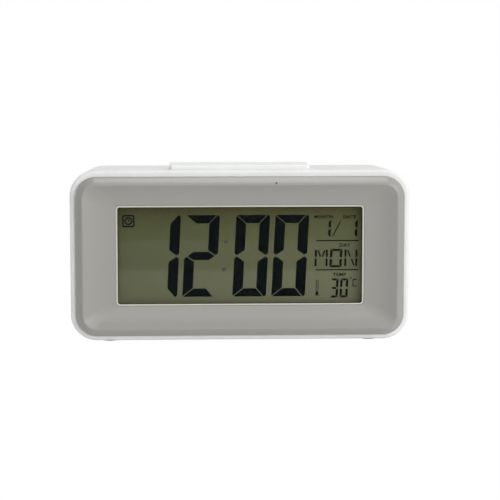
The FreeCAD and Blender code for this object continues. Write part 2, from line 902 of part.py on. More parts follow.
def key_cap(x):
    """Key with a flange behind the wall and a stem down to its switch."""
    flange_back_y = key_flange_y - key_flange_thick
    half, reach = key_width / 2, key_height / 2
    top_y = rear_y + key_proud
    cap = upright_prism(half, key_z - reach, key_z + reach, flange_back_y, top_y, key_corner, x)
    flange = block(x - half - key_flange, x + half + key_flange, flange_back_y, key_flange_y,
                   key_z - reach - key_flange, key_z + reach + key_flange)
    stem = square_bar(at(x, plunger_y, key_z), backward, stem_side, key_flange_y - plunger_y)
    return fused([cap, flange, stem])


def slide_switch_body():
    body = block(slide_middle_x - slide_width / 2, slide_middle_x + slide_width / 2, key_board_y, slide_top_y,
                 key_z - slide_height / 2, key_z + slide_height / 2)
    half_slot = (lever_side + slider_travel) / 2 + lever_play
    half = lever_side / 2 + lever_play
    slot_y = slide_top_y - lever_foot - lever_play
    return body.cut(block(slide_middle_x - half_slot, slide_middle_x + half_slot,
                          slot_y, slide_top_y + past, key_z - half, key_z + half))


def slide_lever():
    foot = at(slider_x, slide_top_y - lever_foot, key_z)
    return square_bar(foot, backward, lever_side, lever_foot + lever_rise)


def slide_knob():
    """Ribbed knob whose flange covers the slot from inside and takes the switch's lever."""
    half, reach = knob_width / 2, knob_height / 2
    top_y = rear_y + knob_proud
    back_y = slide_top_y + lever_play
    cover = half + slider_travel + knob_play + knob_cover
    knob = block(slider_x - half, slider_x + half, back_y, top_y, key_z - reach, key_z + reach)
    flange = block(slider_x - cover, slider_x + cover, key_flange_y - key_flange_thick, key_flange_y,
                   key_z - reach - knob_flange, key_z + reach + knob_flange)
    socket = square_bar(at(slider_x, back_y - past, key_z), backward, lever_side + 2 * lever_play,
                        lever_rise + past)
    grooves = [block(x - groove_width / 2, x + groove_width / 2, top_y - groove_depth, top_y + past,
                     key_z - knob_height, key_z + knob_height)
               for x in centred(slider_x, slider_x, knob_groove_count, 2 * groove_width)]
    return knob.fuse(flange).cut([socket] + grooves)


# ---------------------------------------------------------------- push bar

def snooze_bar():
    """Hollow bar with a flange under the case's top and two stems down to the switches."""
    flange_top = top_inside(bar_back_y) - stop_gap
    low_z = flange_top - bar_flange_thick
    half = bar_width / 2
    body = level_prism(half, bar_front_y, bar_back_y, low_z, bar_top, bar_corner)
    body = body.makeChamfer(bar_bevel, [e for e in body.Edges if e.BoundBox.ZMin > bar_top - bar_bevel / 2])
    flange = slab(half + bar_flange, bar_front_y - bar_flange, bar_back_y + bar_flange, low_z, flange_top)
    roof_z = bar_top - bar_roof
    hollow = slab(half - bar_wall, bar_front_y + bar_wall, bar_back_y - bar_wall, low_z - past, roof_z)
    inside = [block(x - bar_rib / 2, x + bar_rib / 2, bar_front_y + bar_wall / 2, bar_back_y - bar_wall / 2,
                    low_z, roof_z + bar_roof / 2) for x in (-bar_stem_x, 0, bar_stem_x)]
    inside += [square_bar(at(place.x, place.y, snooze_plunger_z), upward, stem_side,
                          roof_z + bar_roof / 2 - snooze_plunger_z) for place in snooze_places()]
    return fused([body.fuse(flange).cut(hollow)] + inside)


def snooze_board():
    body = slab(snooze_board_width / 2, bar_y - snooze_board_depth / 2, bar_y + snooze_board_depth / 2,
                snooze_board_z - board_thick, snooze_board_z)
    return body.cut([bar_up(side * snooze_post_x, bar_y, small_screw_radius + screw_clear,
                            snooze_board_z - board_thick - past, snooze_board_z + past, post_sides)
                     for side in (-1, 1)])


# ---------------------------------------------------------------- battery bay

def battery_cells():
    """Three cells, turned end for end in turn, each with its raised positive end."""
    cells = []
    for index, z in enumerate(cell_heights()):
        way = at(1, 0, 0) if index % 2 == 0 else at(-1, 0, 0)
        middle = at(0, cell_y, z)
        minus = middle + way * (bay_length / 2 - plate_thick - cell_length)
        can = bar(minus, way, cell_radius, cell_length - cell_nub)
        cells.append(can.fuse(bar(minus, way, cell_nub_radius, cell_length, post_sides)).removeSplitter())
    return cells


def contact_plate(side, low_z, high_z, tag_z=None):
    """Sprung-steel plate on an end wall of the bay; it may have a solder tag."""
    face = side * (bay_length / 2 - plate_thick)
    half = plate_width / 2
    low_x, high_x = sorted((face, side * bay_length / 2))
    plate = block(low_x, high_x, cell_y - half, cell_y + half, low_z - half, high_z + half)
    if tag_z is None:
        return plate
    low_x, high_x = sorted((face, side * tag_end))
    return fused([plate, block(low_x, high_x, cell_y - tag_width / 2, cell_y + tag_width / 2,
                               tag_z - plate_thick / 2, tag_z + plate_thick / 2)])


def contact_plates():
    low, middle, high = cell_heights()
    return [contact_plate(-1, low, low, low), contact_plate(1, low, middle), contact_plate(-1, middle, high),
            contact_plate(1, high, high, high)]


def contact_spring(side, z):
    """Conical spring from an end plate to a cell's flat end, wound in short straight pieces."""
    length = bay_length - 2 * plate_thick - cell_length - spring_wire
    start_x = side * (bay_length / 2 - plate_thick - spring_wire / 2)
    count = int(spring_turns * spring_steps)
    path = []
    for index in range(count + 1):
        share = index / count
        angle = 2 * math.pi * index / spring_steps
        radius = spring_wide + (spring_narrow - spring_wide) * share
        path.append(at(start_x - side * length * share, cell_y + radius * math.cos(angle),
                       z + radius * math.sin(angle)))
    return swept(path, Part.makePolygon(path), spring_wire / 2, spring_sides)


def swept(points, path, radius, sides):
    """Few-sided wire along a path that starts in the direction of its first two points."""
    first = (points[1] - points[0]).normalize()
    turn = FreeCAD.Rotation(upward, first)
    angles = [2 * math.pi * (index + 0.5) / sides for index in range(sides)]
    corners = [points[0] + turn.multVec(at(radius * math.cos(a), radius * math.sin(a), 0)) for a in angles]
    return path.makePipeShell([Part.makePolygon(corners + corners[:1])], True, False, mitred)


def contact_springs():
    low, middle, high = cell_heights()
    return [contact_spring(-1, low), contact_spring(1, middle), contact_spring(-1, high)]


def battery_door():
    """Lid with a round lower edge that it turns on, two hooks and a sprung latch."""
    back_y = door_back_y
    front_y = back_y + door_thick
    pieces = [
        slab(door_half, back_y, front_y, hinge_z, door_high_z),
        bar(at(-door_half, hinge_y, hinge_z), at(1, 0, 0), door_thick / 2, 2 * door_half),
    ]
    for side in (-1, 1):
        low_x = side * hook_spread / 2 - hook_width / 2
        high_x = low_x + hook_width
        top_z = hinge_z + hook_thick
        reach_z = door_low_z - hook_reach
        pieces.append(block(low_x, high_x, back_y - hook_thick, hinge_y, hinge_z, top_z))
        pieces.append(block(low_x, high_x, back_y - hook_thick, back_y - door_sink, reach_z, top_z))
    half = latch_width / 2
    slits = [block(side * half - latch_gap / 2, side * half + latch_gap / 2, back_y - past, front_y + past,
                   door_high_z - latch_drop, door_high_z + past) for side in (-1, 1)]
    grips = [slab(half, front_y - grip_depth, front_y + past, z - grip_width / 2, z + grip_width / 2)
             for z in (door_high_z - grip_drop - index * grip_pitch for index in range(grip_count))]
    return fused(pieces).cut(slits + grips)


# ---------------------------------------------------------------- buzzer and feet

def buzzer_disc(radius, front_y, back_y):
    return bar_back(buzzer_x, buzzer_z, radius, front_y, back_y, disc_sides)


def rubber_feet():
    return [bar_up(x, y, foot_radius, 0, case_bottom, disc_sides) for x, y in foot_places()]


# ---------------------------------------------------------------- wiring

def wire_run(points, radius):
    """Wire along straight runs joined by tangent arcs, each as large as its runs allow."""
    edges = []
    last = points[0]
    for before, corner, after in zip(points, points[1:], points[2:]):
        into, out = corner - before, after - corner
        trim = bend_share * min(into.Length, out.Length)
        into.normalize()
        out.normalize()
        half_turn = into.getAngle(out) / 2
        bend = trim / math.tan(half_turn)
        start, end = corner - into * trim, corner + out * trim
        middle = corner + (out - into).normalize() * (bend / math.cos(half_turn) - bend)
        print(f"wire of {2 * radius:.1f} mm: bend radius {bend:.1f} mm")
        edges.append(Part.makeLine(last, start))
        edges.append(Part.Arc(start, middle, end).toShape())
        last = end
    edges.append(Part.makeLine(last, points[-1]))
    return swept(points, Part.Wire(edges), radius, wire_sides)


def battery_lead(side, z, board_x, board_z):
    """Lead from a solder tag forward to the main board's back."""
    x = side * (tag_end - tag_length / 2)
    start_y = cell_y - tag_width / 2
    points = [at(x, start_y, z), at(x, start_y - lead_straight, z),
              at(board_x, board_back_y + lead_straight, board_z), at(board_x, board_back_y, board_z)]
    return wire_run(points, wire_radius)


def buzzer_lead(x, from_y, board_x):
    """Lead from the buzzer's front forward to the main board's back."""
    board_z = buzzer_z + thin_lead_rise
    points = [at(x, from_y, buzzer_z), at(x, from_y - thin_lead_straight, buzzer_z),
              at(board_x, board_back_y + thin_lead_straight, board_z), at(board_x, board_back_y, board_z)]
    return wire_run(points, thin_wire_radius)


def buzzer_leads():
    plate_front_y = disc_y - disc_thick
    edge = (disc_radius + ceramic_radius) / 2
    return [buzzer_lead(buzzer_x, plate_front_y - ceramic_thick, buzzer_x + ceramic_lead_shift),
            buzzer_lead(buzzer_x - edge, plate_front_y, buzzer_x + plate_lead_shift)]


def quarter_bend(middle_y, middle_z_, start_deg):
    """Points of a quarter bend, from start_deg on, in the upright plane from front to back."""
    angles = [math.radians(start_deg + 90 * index / ribbon_steps) for index in range(ribbon_steps + 1)]
    return [(middle_y + ribbon_bend * math.cos(a), middle_z_ + ribbon_bend * math.sin(a)) for a in angles]


def ribbon(points, low_x, high_x):
    """Flat cable that follows points given as depth and height."""
    line = [at(low_x, y, z) for y, z in points]
    path = Part.makePolygon(line)
    first = (line[1] - line[0]).normalize()
    side = first.cross(at(1, 0, 0)) * (ribbon_thick / 2)
    wide = at(high_x - low_x, 0, 0)
    corners = [line[0] - side, line[0] + side, line[0] + side + wide, line[0] - side + wide]
    return path.makePipeShell([Part.makePolygon(corners + corners[:1])], True, False, mitred)


def key_ribbon():
    """Flat cable from the key board's front down to the main board's back."""
    z = key_board_low_z + ribbon_rise
    bend = ribbon_bend
    fall = quarter_bend(key_board_front_y - bend, z - bend, 90)
    level = quarter_bend(key_board_front_y - 3 * bend, z - bend, -90)[::-1]
    points = [(key_board_front_y, z)] + fall + level[1:] + [(board_back_y, z - 2 * bend)]
    half = key_way_count * ribbon_pitch / 2
    return ribbon(points, -half, half)


def snooze_ribbon():
    """Flat cable from the underside of the push bar's board forward to the main board's back."""
    start_y = board_back_y + ribbon_bend + ribbon_thick
    start_z = snooze_board_z - board_thick
    drop_z = start_z - ribbon_thick
    turn = quarter_bend(start_y - ribbon_bend, drop_z, -90)[::-1]
    points = [(start_y, start_z)] + turn + [(board_back_y, drop_z - ribbon_bend)]
    low_x = bar_stem_x / 2
    return ribbon(points, low_x, low_x + snooze_way_count * ribbon_pitch)


# ---------------------------------------------------------------- the assembly

def assembly():
    low, _, high = cell_heights()
    disc_front_y = disc_y - disc_thick
    nodes = {
        "rear_case": rear_case(),
        "front_bezel": front_bezel(),
        "display_lens": display_lens(),
        "front_polarizer": front_polarizer(),
        "front_glass": glass_plate(glass_y, glass_thick, contact_ledge),
        "rear_glass": glass_plate(rear_glass_y, glass_thick),
        "rear_film": glass_plate(film_y, film_thick),
        "light_guide": light_guide(),
        "backlight_lamps": backlight_lamps(),
        "display_frame": display_frame(),
        "zebra_strip": zebra_strip(),
        "main_board": main_board(),
        "chip_blob": chip_blob(),
        "quartz_crystal": quartz_crystal(),
        "capacitor": capacitor(),
        "chip_parts": chip_parts(),
        "light_sensor": light_sensor(),
        "temperature_sensor": temperature_sensor(),
        "key_board": key_board(),
        "key_switches": [switch_body(at(x, key_board_y, key_z), backward) for _, x in key_places()],
        "slide_switch_body": slide_switch_body(),
        "slide_lever": slide_lever(),
        "slide_knob": slide_knob(),
        "snooze_bar": snooze_bar(),
        "snooze_board": snooze_board(),
        "snooze_switches": [switch_body(place, upward) for place in snooze_places()],
        "snooze_plungers": [switch_plunger(place, upward) for place in snooze_places()],
        "battery_door": battery_door(),
        "battery_cells": battery_cells(),
        "contact_plates": contact_plates(),
        "contact_springs": contact_springs(),
        "buzzer_plate": buzzer_disc(disc_radius, disc_front_y, disc_y),
        "buzzer_ceramic": buzzer_disc(ceramic_radius, disc_front_y - ceramic_thick, disc_front_y),
        "case_screws": case_screws(),
        "board_screws": board_screws(),
        "key_board_screws": key_board_screws(),
        "snooze_board_screws": snooze_board_screws(),
        "rubber_feet": rubber_feet(),
        "battery_lead_black": battery_lead(-1, low, black_lead_x, low + black_lead_rise),
        "battery_lead_red": battery_lead(1, high, red_lead_x, high - red_lead_drop),
        "buzzer_leads": buzzer_leads(),
        "key_ribbon": key_ribbon(),
        "snooze_ribbon": snooze_ribbon(),
    }
    for name, x in key_places():
        nodes[name + "_key"] = key_cap(x)
        nodes[name + "_plunger"] = switch_plunger(at(x, key_board_y, key_z), backward)
    return nodes


def save(nodes):
    os.makedirs("parts", exist_ok=True)
    for name, shape in nodes.items():
        pieces = shape if isinstance(shape, list) else [shape]
        solids = [solid for piece in pieces for solid in piece.Solids]
        whole = solids[0] if len(solids) == 1 else Part.makeCompound(solids)
        whole.exportStep(f"parts/{name}.step")
        print(f"{name}: {len(solids)} solids, {whole.Volume:.1f} mm3, valid {whole.isValid()}")


save(assembly())
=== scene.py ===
import json
import math

import bpy
from mathutils import Matrix, Vector


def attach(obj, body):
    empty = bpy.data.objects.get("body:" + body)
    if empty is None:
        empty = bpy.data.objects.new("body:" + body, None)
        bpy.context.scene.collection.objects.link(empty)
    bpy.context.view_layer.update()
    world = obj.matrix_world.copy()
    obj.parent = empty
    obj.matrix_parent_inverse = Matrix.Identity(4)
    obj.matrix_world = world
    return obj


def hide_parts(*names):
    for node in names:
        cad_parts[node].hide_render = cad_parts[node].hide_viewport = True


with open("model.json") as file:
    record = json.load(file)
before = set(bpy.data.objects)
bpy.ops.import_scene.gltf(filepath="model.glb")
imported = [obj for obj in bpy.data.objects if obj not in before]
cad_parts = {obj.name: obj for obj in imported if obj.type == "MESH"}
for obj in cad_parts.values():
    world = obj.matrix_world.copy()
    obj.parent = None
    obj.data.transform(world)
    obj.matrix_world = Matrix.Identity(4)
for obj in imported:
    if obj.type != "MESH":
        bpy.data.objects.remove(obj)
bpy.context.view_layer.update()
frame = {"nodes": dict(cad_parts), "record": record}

mm = 0.001
backward, upward = Vector((0, 1, 0)), Vector((0, 0, 1))


# selecting and editing, as by hand; all lengths are handed over in millimetres
def useOnly(piece):
    if bpy.context.object and bpy.context.object.mode != "OBJECT":
        bpy.ops.object.mode_set(mode="OBJECT")
    bpy.ops.object.select_all(action="DESELECT")
    piece.select_set(True)
    bpy.context.view_layer.objects.active = piece


def clearMesh(piece):
    useOnly(piece)
    for group in (piece.data.vertices, piece.data.edges, piece.data.polygons):
        group.foreach_set("select", [False] * len(group))


# opens edit mode on the faces whose middle and normal pass the test
def pickFaces(piece, test):
    clearMesh(piece)
    for face in piece.data.polygons:
        face.select = test(face.center / mm, face.normal)
    bpy.context.tool_settings.mesh_select_mode = (False, False, True)
    bpy.ops.object.mode_set(mode="EDIT")


# opens edit mode on the edges whose two ends pass the test
def pickEdges(piece, test):
    clearMesh(piece)
    for edge in piece.data.edges:
        start, end = (piece.data.vertices[index].co / mm for index in edge.vertices)
        edge.select = test(start, end)
    bpy.context.tool_settings.mesh_select_mode = (False, True, False)
    bpy.ops.object.mode_set(mode="EDIT")


def done():
    bpy.ops.object.mode_set(mode="OBJECT")


def onPlane(axis, where, slack=0.01):
    return lambda start, end: abs(start[axis] - where) < slack and abs(end[axis] - where) < slack


def alongAxis(axis):
    return lambda start, end: abs((end - start)[axis]) > 0.9 * (end - start).length


def roundEdges(piece, test, width, segments, profile=0.5):
    pickEdges(piece, test)
    bpy.ops.mesh.bevel(offset=width * mm, segments=segments, profile=profile, affect="EDGES",
                       clamp_overlap=False)
    done()


def addBox(name, low, high):
    bpy.ops.object.select_all(action="DESELECT")
    bpy.ops.mesh.primitive_cube_add(size=1, location=[(a + b) / 2 * mm for a, b in zip(low, high)])
    piece = bpy.context.object
    piece.name = name
    piece.scale = [(b - a) * mm for a, b in zip(low, high)]
    bpy.ops.object.transform_apply(location=True, rotation=True, scale=True)
    return piece


# block between two upright rectangles, each (depth, half width, low, high), with rounded long edges
def addBlock(name, front, back, corner, segments=12):
    frontY, half, low, high = front
    backY, backHalf, backLow, backHigh = back
    piece = addBox(name, (-half, frontY, low), (half, backY, high))
    pickFaces(piece, lambda middle, normal: normal.y > 0.9)
    middle = (low + high) / 2 * mm
    bpy.ops.transform.resize(value=(backHalf / half, 1, (backHigh - backLow) / (high - low)),
                             center_override=(0, backY * mm, middle))
    bpy.ops.transform.translate(value=(0, 0, (backLow + backHigh) / 2 * mm - middle))
    done()
    if corner:
        depth = abs(backY - frontY)
        roundEdges(piece, lambda start, end: abs((end - start).y) > 0.9 * depth, corner, segments)
    return piece


# the same with one outline (half width, low, high) all the way
def addPrism(name, front, back, outline, corner, segments=12):
    return addBlock(name, (front, *outline), (back, *outline), corner, segments)


# round bar from a start point along an axis
def addBar(name, start, axis, radius, length, sides=32):
    bpy.ops.object.select_all(action="DESELECT")
    turn = upward.rotation_difference(Vector(axis)).to_euler()
    bpy.ops.mesh.primitive_cylinder_add(vertices=sides, radius=radius * mm, depth=length * mm, rotation=turn,
                                        location=(Vector(start) + Vector(axis) * (length / 2)) * mm)
    piece = bpy.context.object
    piece.name = name
    bpy.ops.object.transform_apply(location=True, rotation=True, scale=True)
    return piece


# a copy with its own mesh
def twinOf(piece):
    twin = piece.copy()
    twin.data = piece.data.copy()
    bpy.context.collection.objects.link(twin)
    return twin


# the piece moved by the first step, and a twin for each further step
def repeated(piece, steps):
    pieces = [piece] + [twinOf(piece) for step in steps[1:]]
    for each, step in zip(pieces, steps):
        each.data.transform(Matrix.Translation(Vector(step) * mm))
    return pieces


# the same, with places along the width only
def spaced(piece, places):
    return repeated(piece, [(x, 0, 0) for x in places])


def combine(piece, others, operation):
    for other in others:
        useOnly(piece)
        step = piece.modifiers.new("combine", "BOOLEAN")
        step.object = other
        step.operation = operation
        step.solver = "EXACT"
        bpy.ops.object.modifier_apply(modifier=step.name)
        bpy.data.objects.remove(other)


def cut(piece, others):
    combine(piece, others, "DIFFERENCE")


def add(piece, others):
    combine(piece, others, "UNION")


def joined(name, pieces):
    useOnly(pieces[0])
    for piece in pieces[1:]:
        piece.select_set(True)
    if len(pieces) > 1:
        bpy.ops.object.join()
    pieces[0].name = name
    return pieces[0]


# takes off what lies beyond a line in the upright plane, seen from the front
def trim(piece, x, z, outX, outZ):
    useOnly(piece)
    bpy.ops.object.mode_set(mode="EDIT")
    bpy.ops.mesh.select_all(action="SELECT")
    bpy.ops.mesh.bisect(plane_co=(x * mm, 0, z * mm), plane_no=(outX, 0, outZ), use_fill=True,
                        clear_outer=True, threshold=1e-7)
    done()


# cuts the middle out of a flat plate and leaves a rim
def hollowOut(piece, rim):
    pickFaces(piece, lambda middle, normal: abs(normal.y) > 0.99)
    bpy.ops.mesh.inset(thickness=rim * mm)
    bpy.ops.mesh.bridge_edge_loops()
    done()


# softens the rims that openings leave in a flat face
def softenOpenings(piece, axis, where, width):
    facesOf = {}
    for face in piece.data.polygons:
        for key in face.edge_keys:
            facesOf.setdefault(key, []).append(abs(face.normal[axis]))
    flat = onPlane(axis, where, 0.02)
    rims = {key for key, turns in facesOf.items()
            if len(turns) == 2 and max(turns) > 0.99 and min(turns) < 0.3}
    ends = {key: [piece.data.vertices[index].co / mm for index in key] for key in rims}
    clearMesh(piece)
    for edge in piece.data.edges:
        edge.select = edge.key in rims and flat(*ends[edge.key])
    bpy.context.tool_settings.mesh_select_mode = (False, True, False)
    bpy.ops.object.mode_set(mode="EDIT")
    bpy.ops.mesh.bevel(offset=width * mm, segments=2, affect="EDGES", clamp_overlap=True)
    done()


def smooth(piece, angle=35):
    useOnly(piece)
    bpy.ops.object.shade_smooth_by_angle(angle=math.radians(angle))
    step = piece.modifiers.new("flatFaces", "WEIGHTED_NORMAL")
    step.keep_sharp = True
    bpy.ops.object.modifier_apply(modifier=step.name)


# hands a finished piece over: what it rides on, its material slot and the nodes that it stands for
def handOver(piece, body, slotName, nodes=(), finish=None):
    useOnly(piece)
    bpy.ops.object.transform_apply(location=True, rotation=True, scale=True)
    piece.data.materials.clear()
    piece.data.materials.append(finish or finishes[slotName])
    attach(piece, body)
    if nodes:
        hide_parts(*nodes)
    return piece


# effects that several materials share
def newGroup(name, inputs, outputs):
    group = bpy.data.node_groups.new(name, "ShaderNodeTree")
    for title, kind, value in inputs:
        socket = group.interface.new_socket(name=title, in_out="INPUT", socket_type=kind)
        if value is not None:
            socket.default_value = value
    for title in outputs:
        group.interface.new_socket(name=title, in_out="OUTPUT", socket_type="NodeSocketFloat")
    return group, group.nodes.new("NodeGroupInput"), group.nodes.new("NodeGroupOutput")


def addMath(tree, operation, *values):
    node = tree.nodes.new("ShaderNodeMath")
    node.operation = operation
    for index, value in enumerate(values):
        if isinstance(value, (int, float)):
            node.inputs[index].default_value = value
        else:
            tree.links.new(value, node.inputs[index])
    return node.outputs[0]


# fine grain of a moulded surface, slow clouds of tone and fine specks
def makeMouldGrain():
    group, source, sink = newGroup("mouldGrain", [("Place", "NodeSocketVector", None),
                                                  ("Grain", "NodeSocketFloat", 3000.0),
                                                  ("Cloud", "NodeSocketFloat", 60.0)],
                                   ["Height", "Clouds", "Specks"])
    grain = group.nodes.new("ShaderNodeTexNoise")
    grain.inputs["Detail"].default_value = 3.0
    cloud = group.nodes.new("ShaderNodeTexNoise")
    cloud.inputs["Detail"].default_value = 4.0
    cloud.inputs["Roughness"].default_value = 0.6
    specks = group.nodes.new("ShaderNodeTexVoronoi")
    for node, scale in ((grain, "Grain"), (cloud, "Cloud"), (specks, "Grain")):
        group.links.new(source.outputs["Place"], node.inputs["Vector"])
        group.links.new(source.outputs[scale], node.inputs["Scale"])
    group.links.new(grain.outputs["Fac"], sink.inputs["Height"])
    group.links.new(cloud.outputs["Fac"], sink.inputs["Clouds"])
    group.links.new(specks.outputs["Distance"], sink.inputs["Specks"])
    return group


# faint rubs and dust in patches
def makeHandling():
    group, source, sink = newGroup("handling", [("Place", "NodeSocketVector", None),
                                                ("Amount", "NodeSocketFloat", 0.5)], ["Mask"])
    product = 1.0
    for scale, detail in ((38.0, 6.0), (420.0, 2.0)):
        rubs = group.nodes.new("ShaderNodeTexNoise")
        rubs.inputs["Scale"].default_value = scale
        rubs.inputs["Detail"].default_value = detail
        group.links.new(source.outputs["Place"], rubs.inputs["Vector"])
        product = addMath(group, "MULTIPLY", product, rubs.outputs["Fac"])
    ramp = spread(group, product, 0.0, 1.0, 0.25, 0.42)
    group.links.new(addMath(group, "MULTIPLY", ramp, source.outputs["Amount"]), sink.inputs["Mask"])
    return group


def placeOf(tree):
    return tree.nodes.new("ShaderNodeTexCoord").outputs["Object"]


def axesOf(tree):
    apart = tree.nodes.new("ShaderNodeSeparateXYZ")
    tree.links.new(placeOf(tree), apart.inputs[0])
    return apart.outputs


def useGroup(tree, group, where, **values):
    node = tree.nodes.new("ShaderNodeGroup")
    node.node_tree = group
    tree.links.new(where, node.inputs["Place"])
    for title, value in values.items():
        node.inputs[title].default_value = value
    return node


def mixColours(tree, mask, first, second, blend="MIX"):
    mix = tree.nodes.new("ShaderNodeMix")
    mix.data_type = "RGBA"
    mix.blend_type = blend
    tree.links.new(mask, mix.inputs["Factor"])
    for socket, value in ((mix.inputs[6], first), (mix.inputs[7], second)):
        if isinstance(value, tuple):
            socket.default_value = (*value, 1)
        else:
            tree.links.new(value, socket)
    return mix.outputs[2]


def paint(material, colour):
    tree = material.node_tree
    tree.links.new(colour, tree.nodes["Principled BSDF"].inputs["Base Color"])
    return material


def spread(tree, value, low, high, fromLow=0.3, fromHigh=0.7):
    node = tree.nodes.new("ShaderNodeMapRange")
    for title, number in (("From Min", fromLow), ("From Max", fromHigh), ("To Min", low), ("To Max", high)):
        node.inputs[title].default_value = number
    tree.links.new(value, node.inputs["Value"])
    return node.outputs["Result"]


mouldGrain = makeMouldGrain()
handling = makeHandling()


# the usual moulded, drawn or rolled finish: two near tones, uneven gloss and a fine bump
def makeFinish(name, tone, second=None, rough=(0.4, 0.5), grain=3000.0, depth=0.02, cloud=60.0,
               metal=0.0, alpha=1.0, wear=None, specular=0.5, coat=0.0, subsurface=0.0):
    material = bpy.data.materials.new(name)
    material.use_nodes = True
    tree = material.node_tree
    shader = tree.nodes["Principled BSDF"]
    where = placeOf(tree)
    skin = useGroup(tree, mouldGrain, where, Grain=grain, Cloud=cloud)
    second = second or tuple(value * 0.93 for value in tone)
    colour = mixColours(tree, spread(tree, skin.outputs["Clouds"], 0.0, 1.0), tone, second)
    if wear:
        rub = useGroup(tree, handling, where, Amount=wear[0])
        colour = mixColours(tree, rub.outputs["Mask"], colour, wear[1])
    tree.links.new(colour, shader.inputs["Base Color"])
    tree.links.new(spread(tree, skin.outputs["Clouds"], rough[0], rough[1]), shader.inputs["Roughness"])
    bump = tree.nodes.new("ShaderNodeBump")
    bump.inputs["Strength"].default_value = 0.4
    bump.inputs["Distance"].default_value = depth * mm
    tree.links.new(skin.outputs["Height"], bump.inputs["Height"])
    tree.links.new(bump.outputs["Normal"], shader.inputs["Normal"])
    shader.inputs["Metallic"].default_value = metal
    shader.inputs["Alpha"].default_value = alpha
    shader.inputs["Specular IOR Level"].default_value = specular
    shader.inputs["Coat Weight"].default_value = coat
    shader.inputs["Subsurface Weight"].default_value = subsurface
    shader.inputs["Subsurface Scale"].default_value = 1.5 * mm
    return material


finishes = {
    "case_white": makeFinish("satinWhite", (0.88, 0.89, 0.88), (0.85, 0.86, 0.845), (0.52, 0.6), 2600, 0.012,
                             wear=(0.25, (0.8, 0.795, 0.77)), specular=0.3),
    "bar_white": makeFinish("barWhite", (0.91, 0.92, 0.91), (0.89, 0.895, 0.885), (0.38, 0.46), 2600, 0.012,
                            subsurface=0.05),
    "key_white": makeFinish("keyWhite", (0.85, 0.86, 0.85), (0.82, 0.825, 0.81), (0.38, 0.46), 3200, 0.015,
                            wear=(0.35, (0.74, 0.73, 0.7))),
    "bezel_grey": makeFinish("bezelGrey", (0.342, 0.337, 0.315), (0.337, 0.332, 0.311), (0.23, 0.27), 2200,
                             0.01, cloud=26),
    "guide_clear": makeFinish("frostedGuide", (0.86, 0.88, 0.84), rough=(0.5, 0.6), alpha=0.75),
    "lamp": makeFinish("lampResin", (0.86, 0.78, 0.42), (0.9, 0.86, 0.6), (0.2, 0.3)),
    "frame_white": makeFinish("frameWhite", (0.8, 0.8, 0.77), rough=(0.45, 0.55)),
    "strip_rubber": makeFinish("stripRubber", (0.5, 0.5, 0.46), (0.2, 0.2, 0.2), (0.6, 0.7), cloud=900),
    "resin_black": makeFinish("blackResin", (0.012, 0.012, 0.014), (0.02, 0.02, 0.022), (0.25, 0.4), 900,
                              0.06),
    "can_metal": makeFinish("drawnCan", (0.72, 0.72, 0.72), (0.6, 0.6, 0.61), (0.2, 0.32), metal=1.0),
    "chip_ceramic": makeFinish("chipCeramic", (0.36, 0.28, 0.2), (0.5, 0.5, 0.5), (0.4, 0.6), cloud=900),
    "sensor_resin": makeFinish("sensorResin", (0.06, 0.06, 0.085), (0.1, 0.1, 0.12), (0.12, 0.2)),
    "switch_black": makeFinish("switchBlack", (0.018, 0.018, 0.02), (0.03, 0.03, 0.03), (0.4, 0.55)),
    "plunger_black": makeFinish("plungerBlack", (0.03, 0.03, 0.032), (0.05, 0.05, 0.05), (0.35, 0.5)),
    "contact_steel": makeFinish("nickelledSteel", (0.72, 0.7, 0.65), (0.6, 0.58, 0.53), (0.18, 0.34),
                                metal=1.0),
    "buzzer_brass": makeFinish("rolledBrass", (0.72, 0.5, 0.2), (0.62, 0.42, 0.16), (0.24, 0.4), metal=1.0),
    "buzzer_ceramic": makeFinish("silveredCeramic", (0.7, 0.7, 0.66), (0.6, 0.6, 0.57), (0.3, 0.45),
                                 metal=0.6),
    "screw_steel": makeFinish("zincPlated", (0.6, 0.61, 0.62), (0.45, 0.46, 0.48), (0.22, 0.4), metal=1.0),
    "foot_rubber": makeFinish("clearRubber", (0.72, 0.76, 0.79), (0.66, 0.7, 0.74), (0.35, 0.5), 1400, 0.03,
                              subsurface=0.2, wear=(0.5, (0.6, 0.6, 0.58))),
    "wire_black": makeFinish("blackVinyl", (0.015, 0.015, 0.015), (0.03, 0.03, 0.03), (0.35, 0.5)),
    "wire_red": makeFinish("redVinyl", (0.45, 0.015, 0.012), (0.36, 0.012, 0.01), (0.35, 0.5)),
    "wire_blue": makeFinish("blueVinyl", (0.03, 0.06, 0.24), (0.02, 0.05, 0.2), (0.35, 0.5)),
    "display_glass": makeFinish("displayGlass", (0.3, 0.34, 0.26), rough=(0.05, 0.12), alpha=0.85),
}
# cream border on the lens: painted highlight of light caught on the lens's edge
edgeHighlightFinish = makeFinish("paintedEdgeHighlight", (0.66, 0.64, 0.56), (0.6, 0.58, 0.5), (0.35, 0.45), cloud=200)
inkFinish = makeFinish("displayInk", (0.0015, 0.0035, 0.0045), (0.004, 0.006, 0.0065), (0.4, 0.5), cloud=300,
                       specular=0.01)
markFinish = makeFinish("markGrey", (0.3, 0.3, 0.31), (0.36, 0.36, 0.36), (0.45, 0.55), cloud=400)
# dark line inside the lens border: painted shade of the window's walls on the display
shadeFinish = makeFinish("edgeShade", (0.022, 0.021, 0.01), (0.03, 0.03, 0.014), (0.5, 0.6), cloud=200,
                         specular=0.05)
faintInkFinish = makeFinish("faintInk", (0.09, 0.095, 0.075), (0.08, 0.085, 0.07), (0.4, 0.5), cloud=300,
                            specular=0.05)


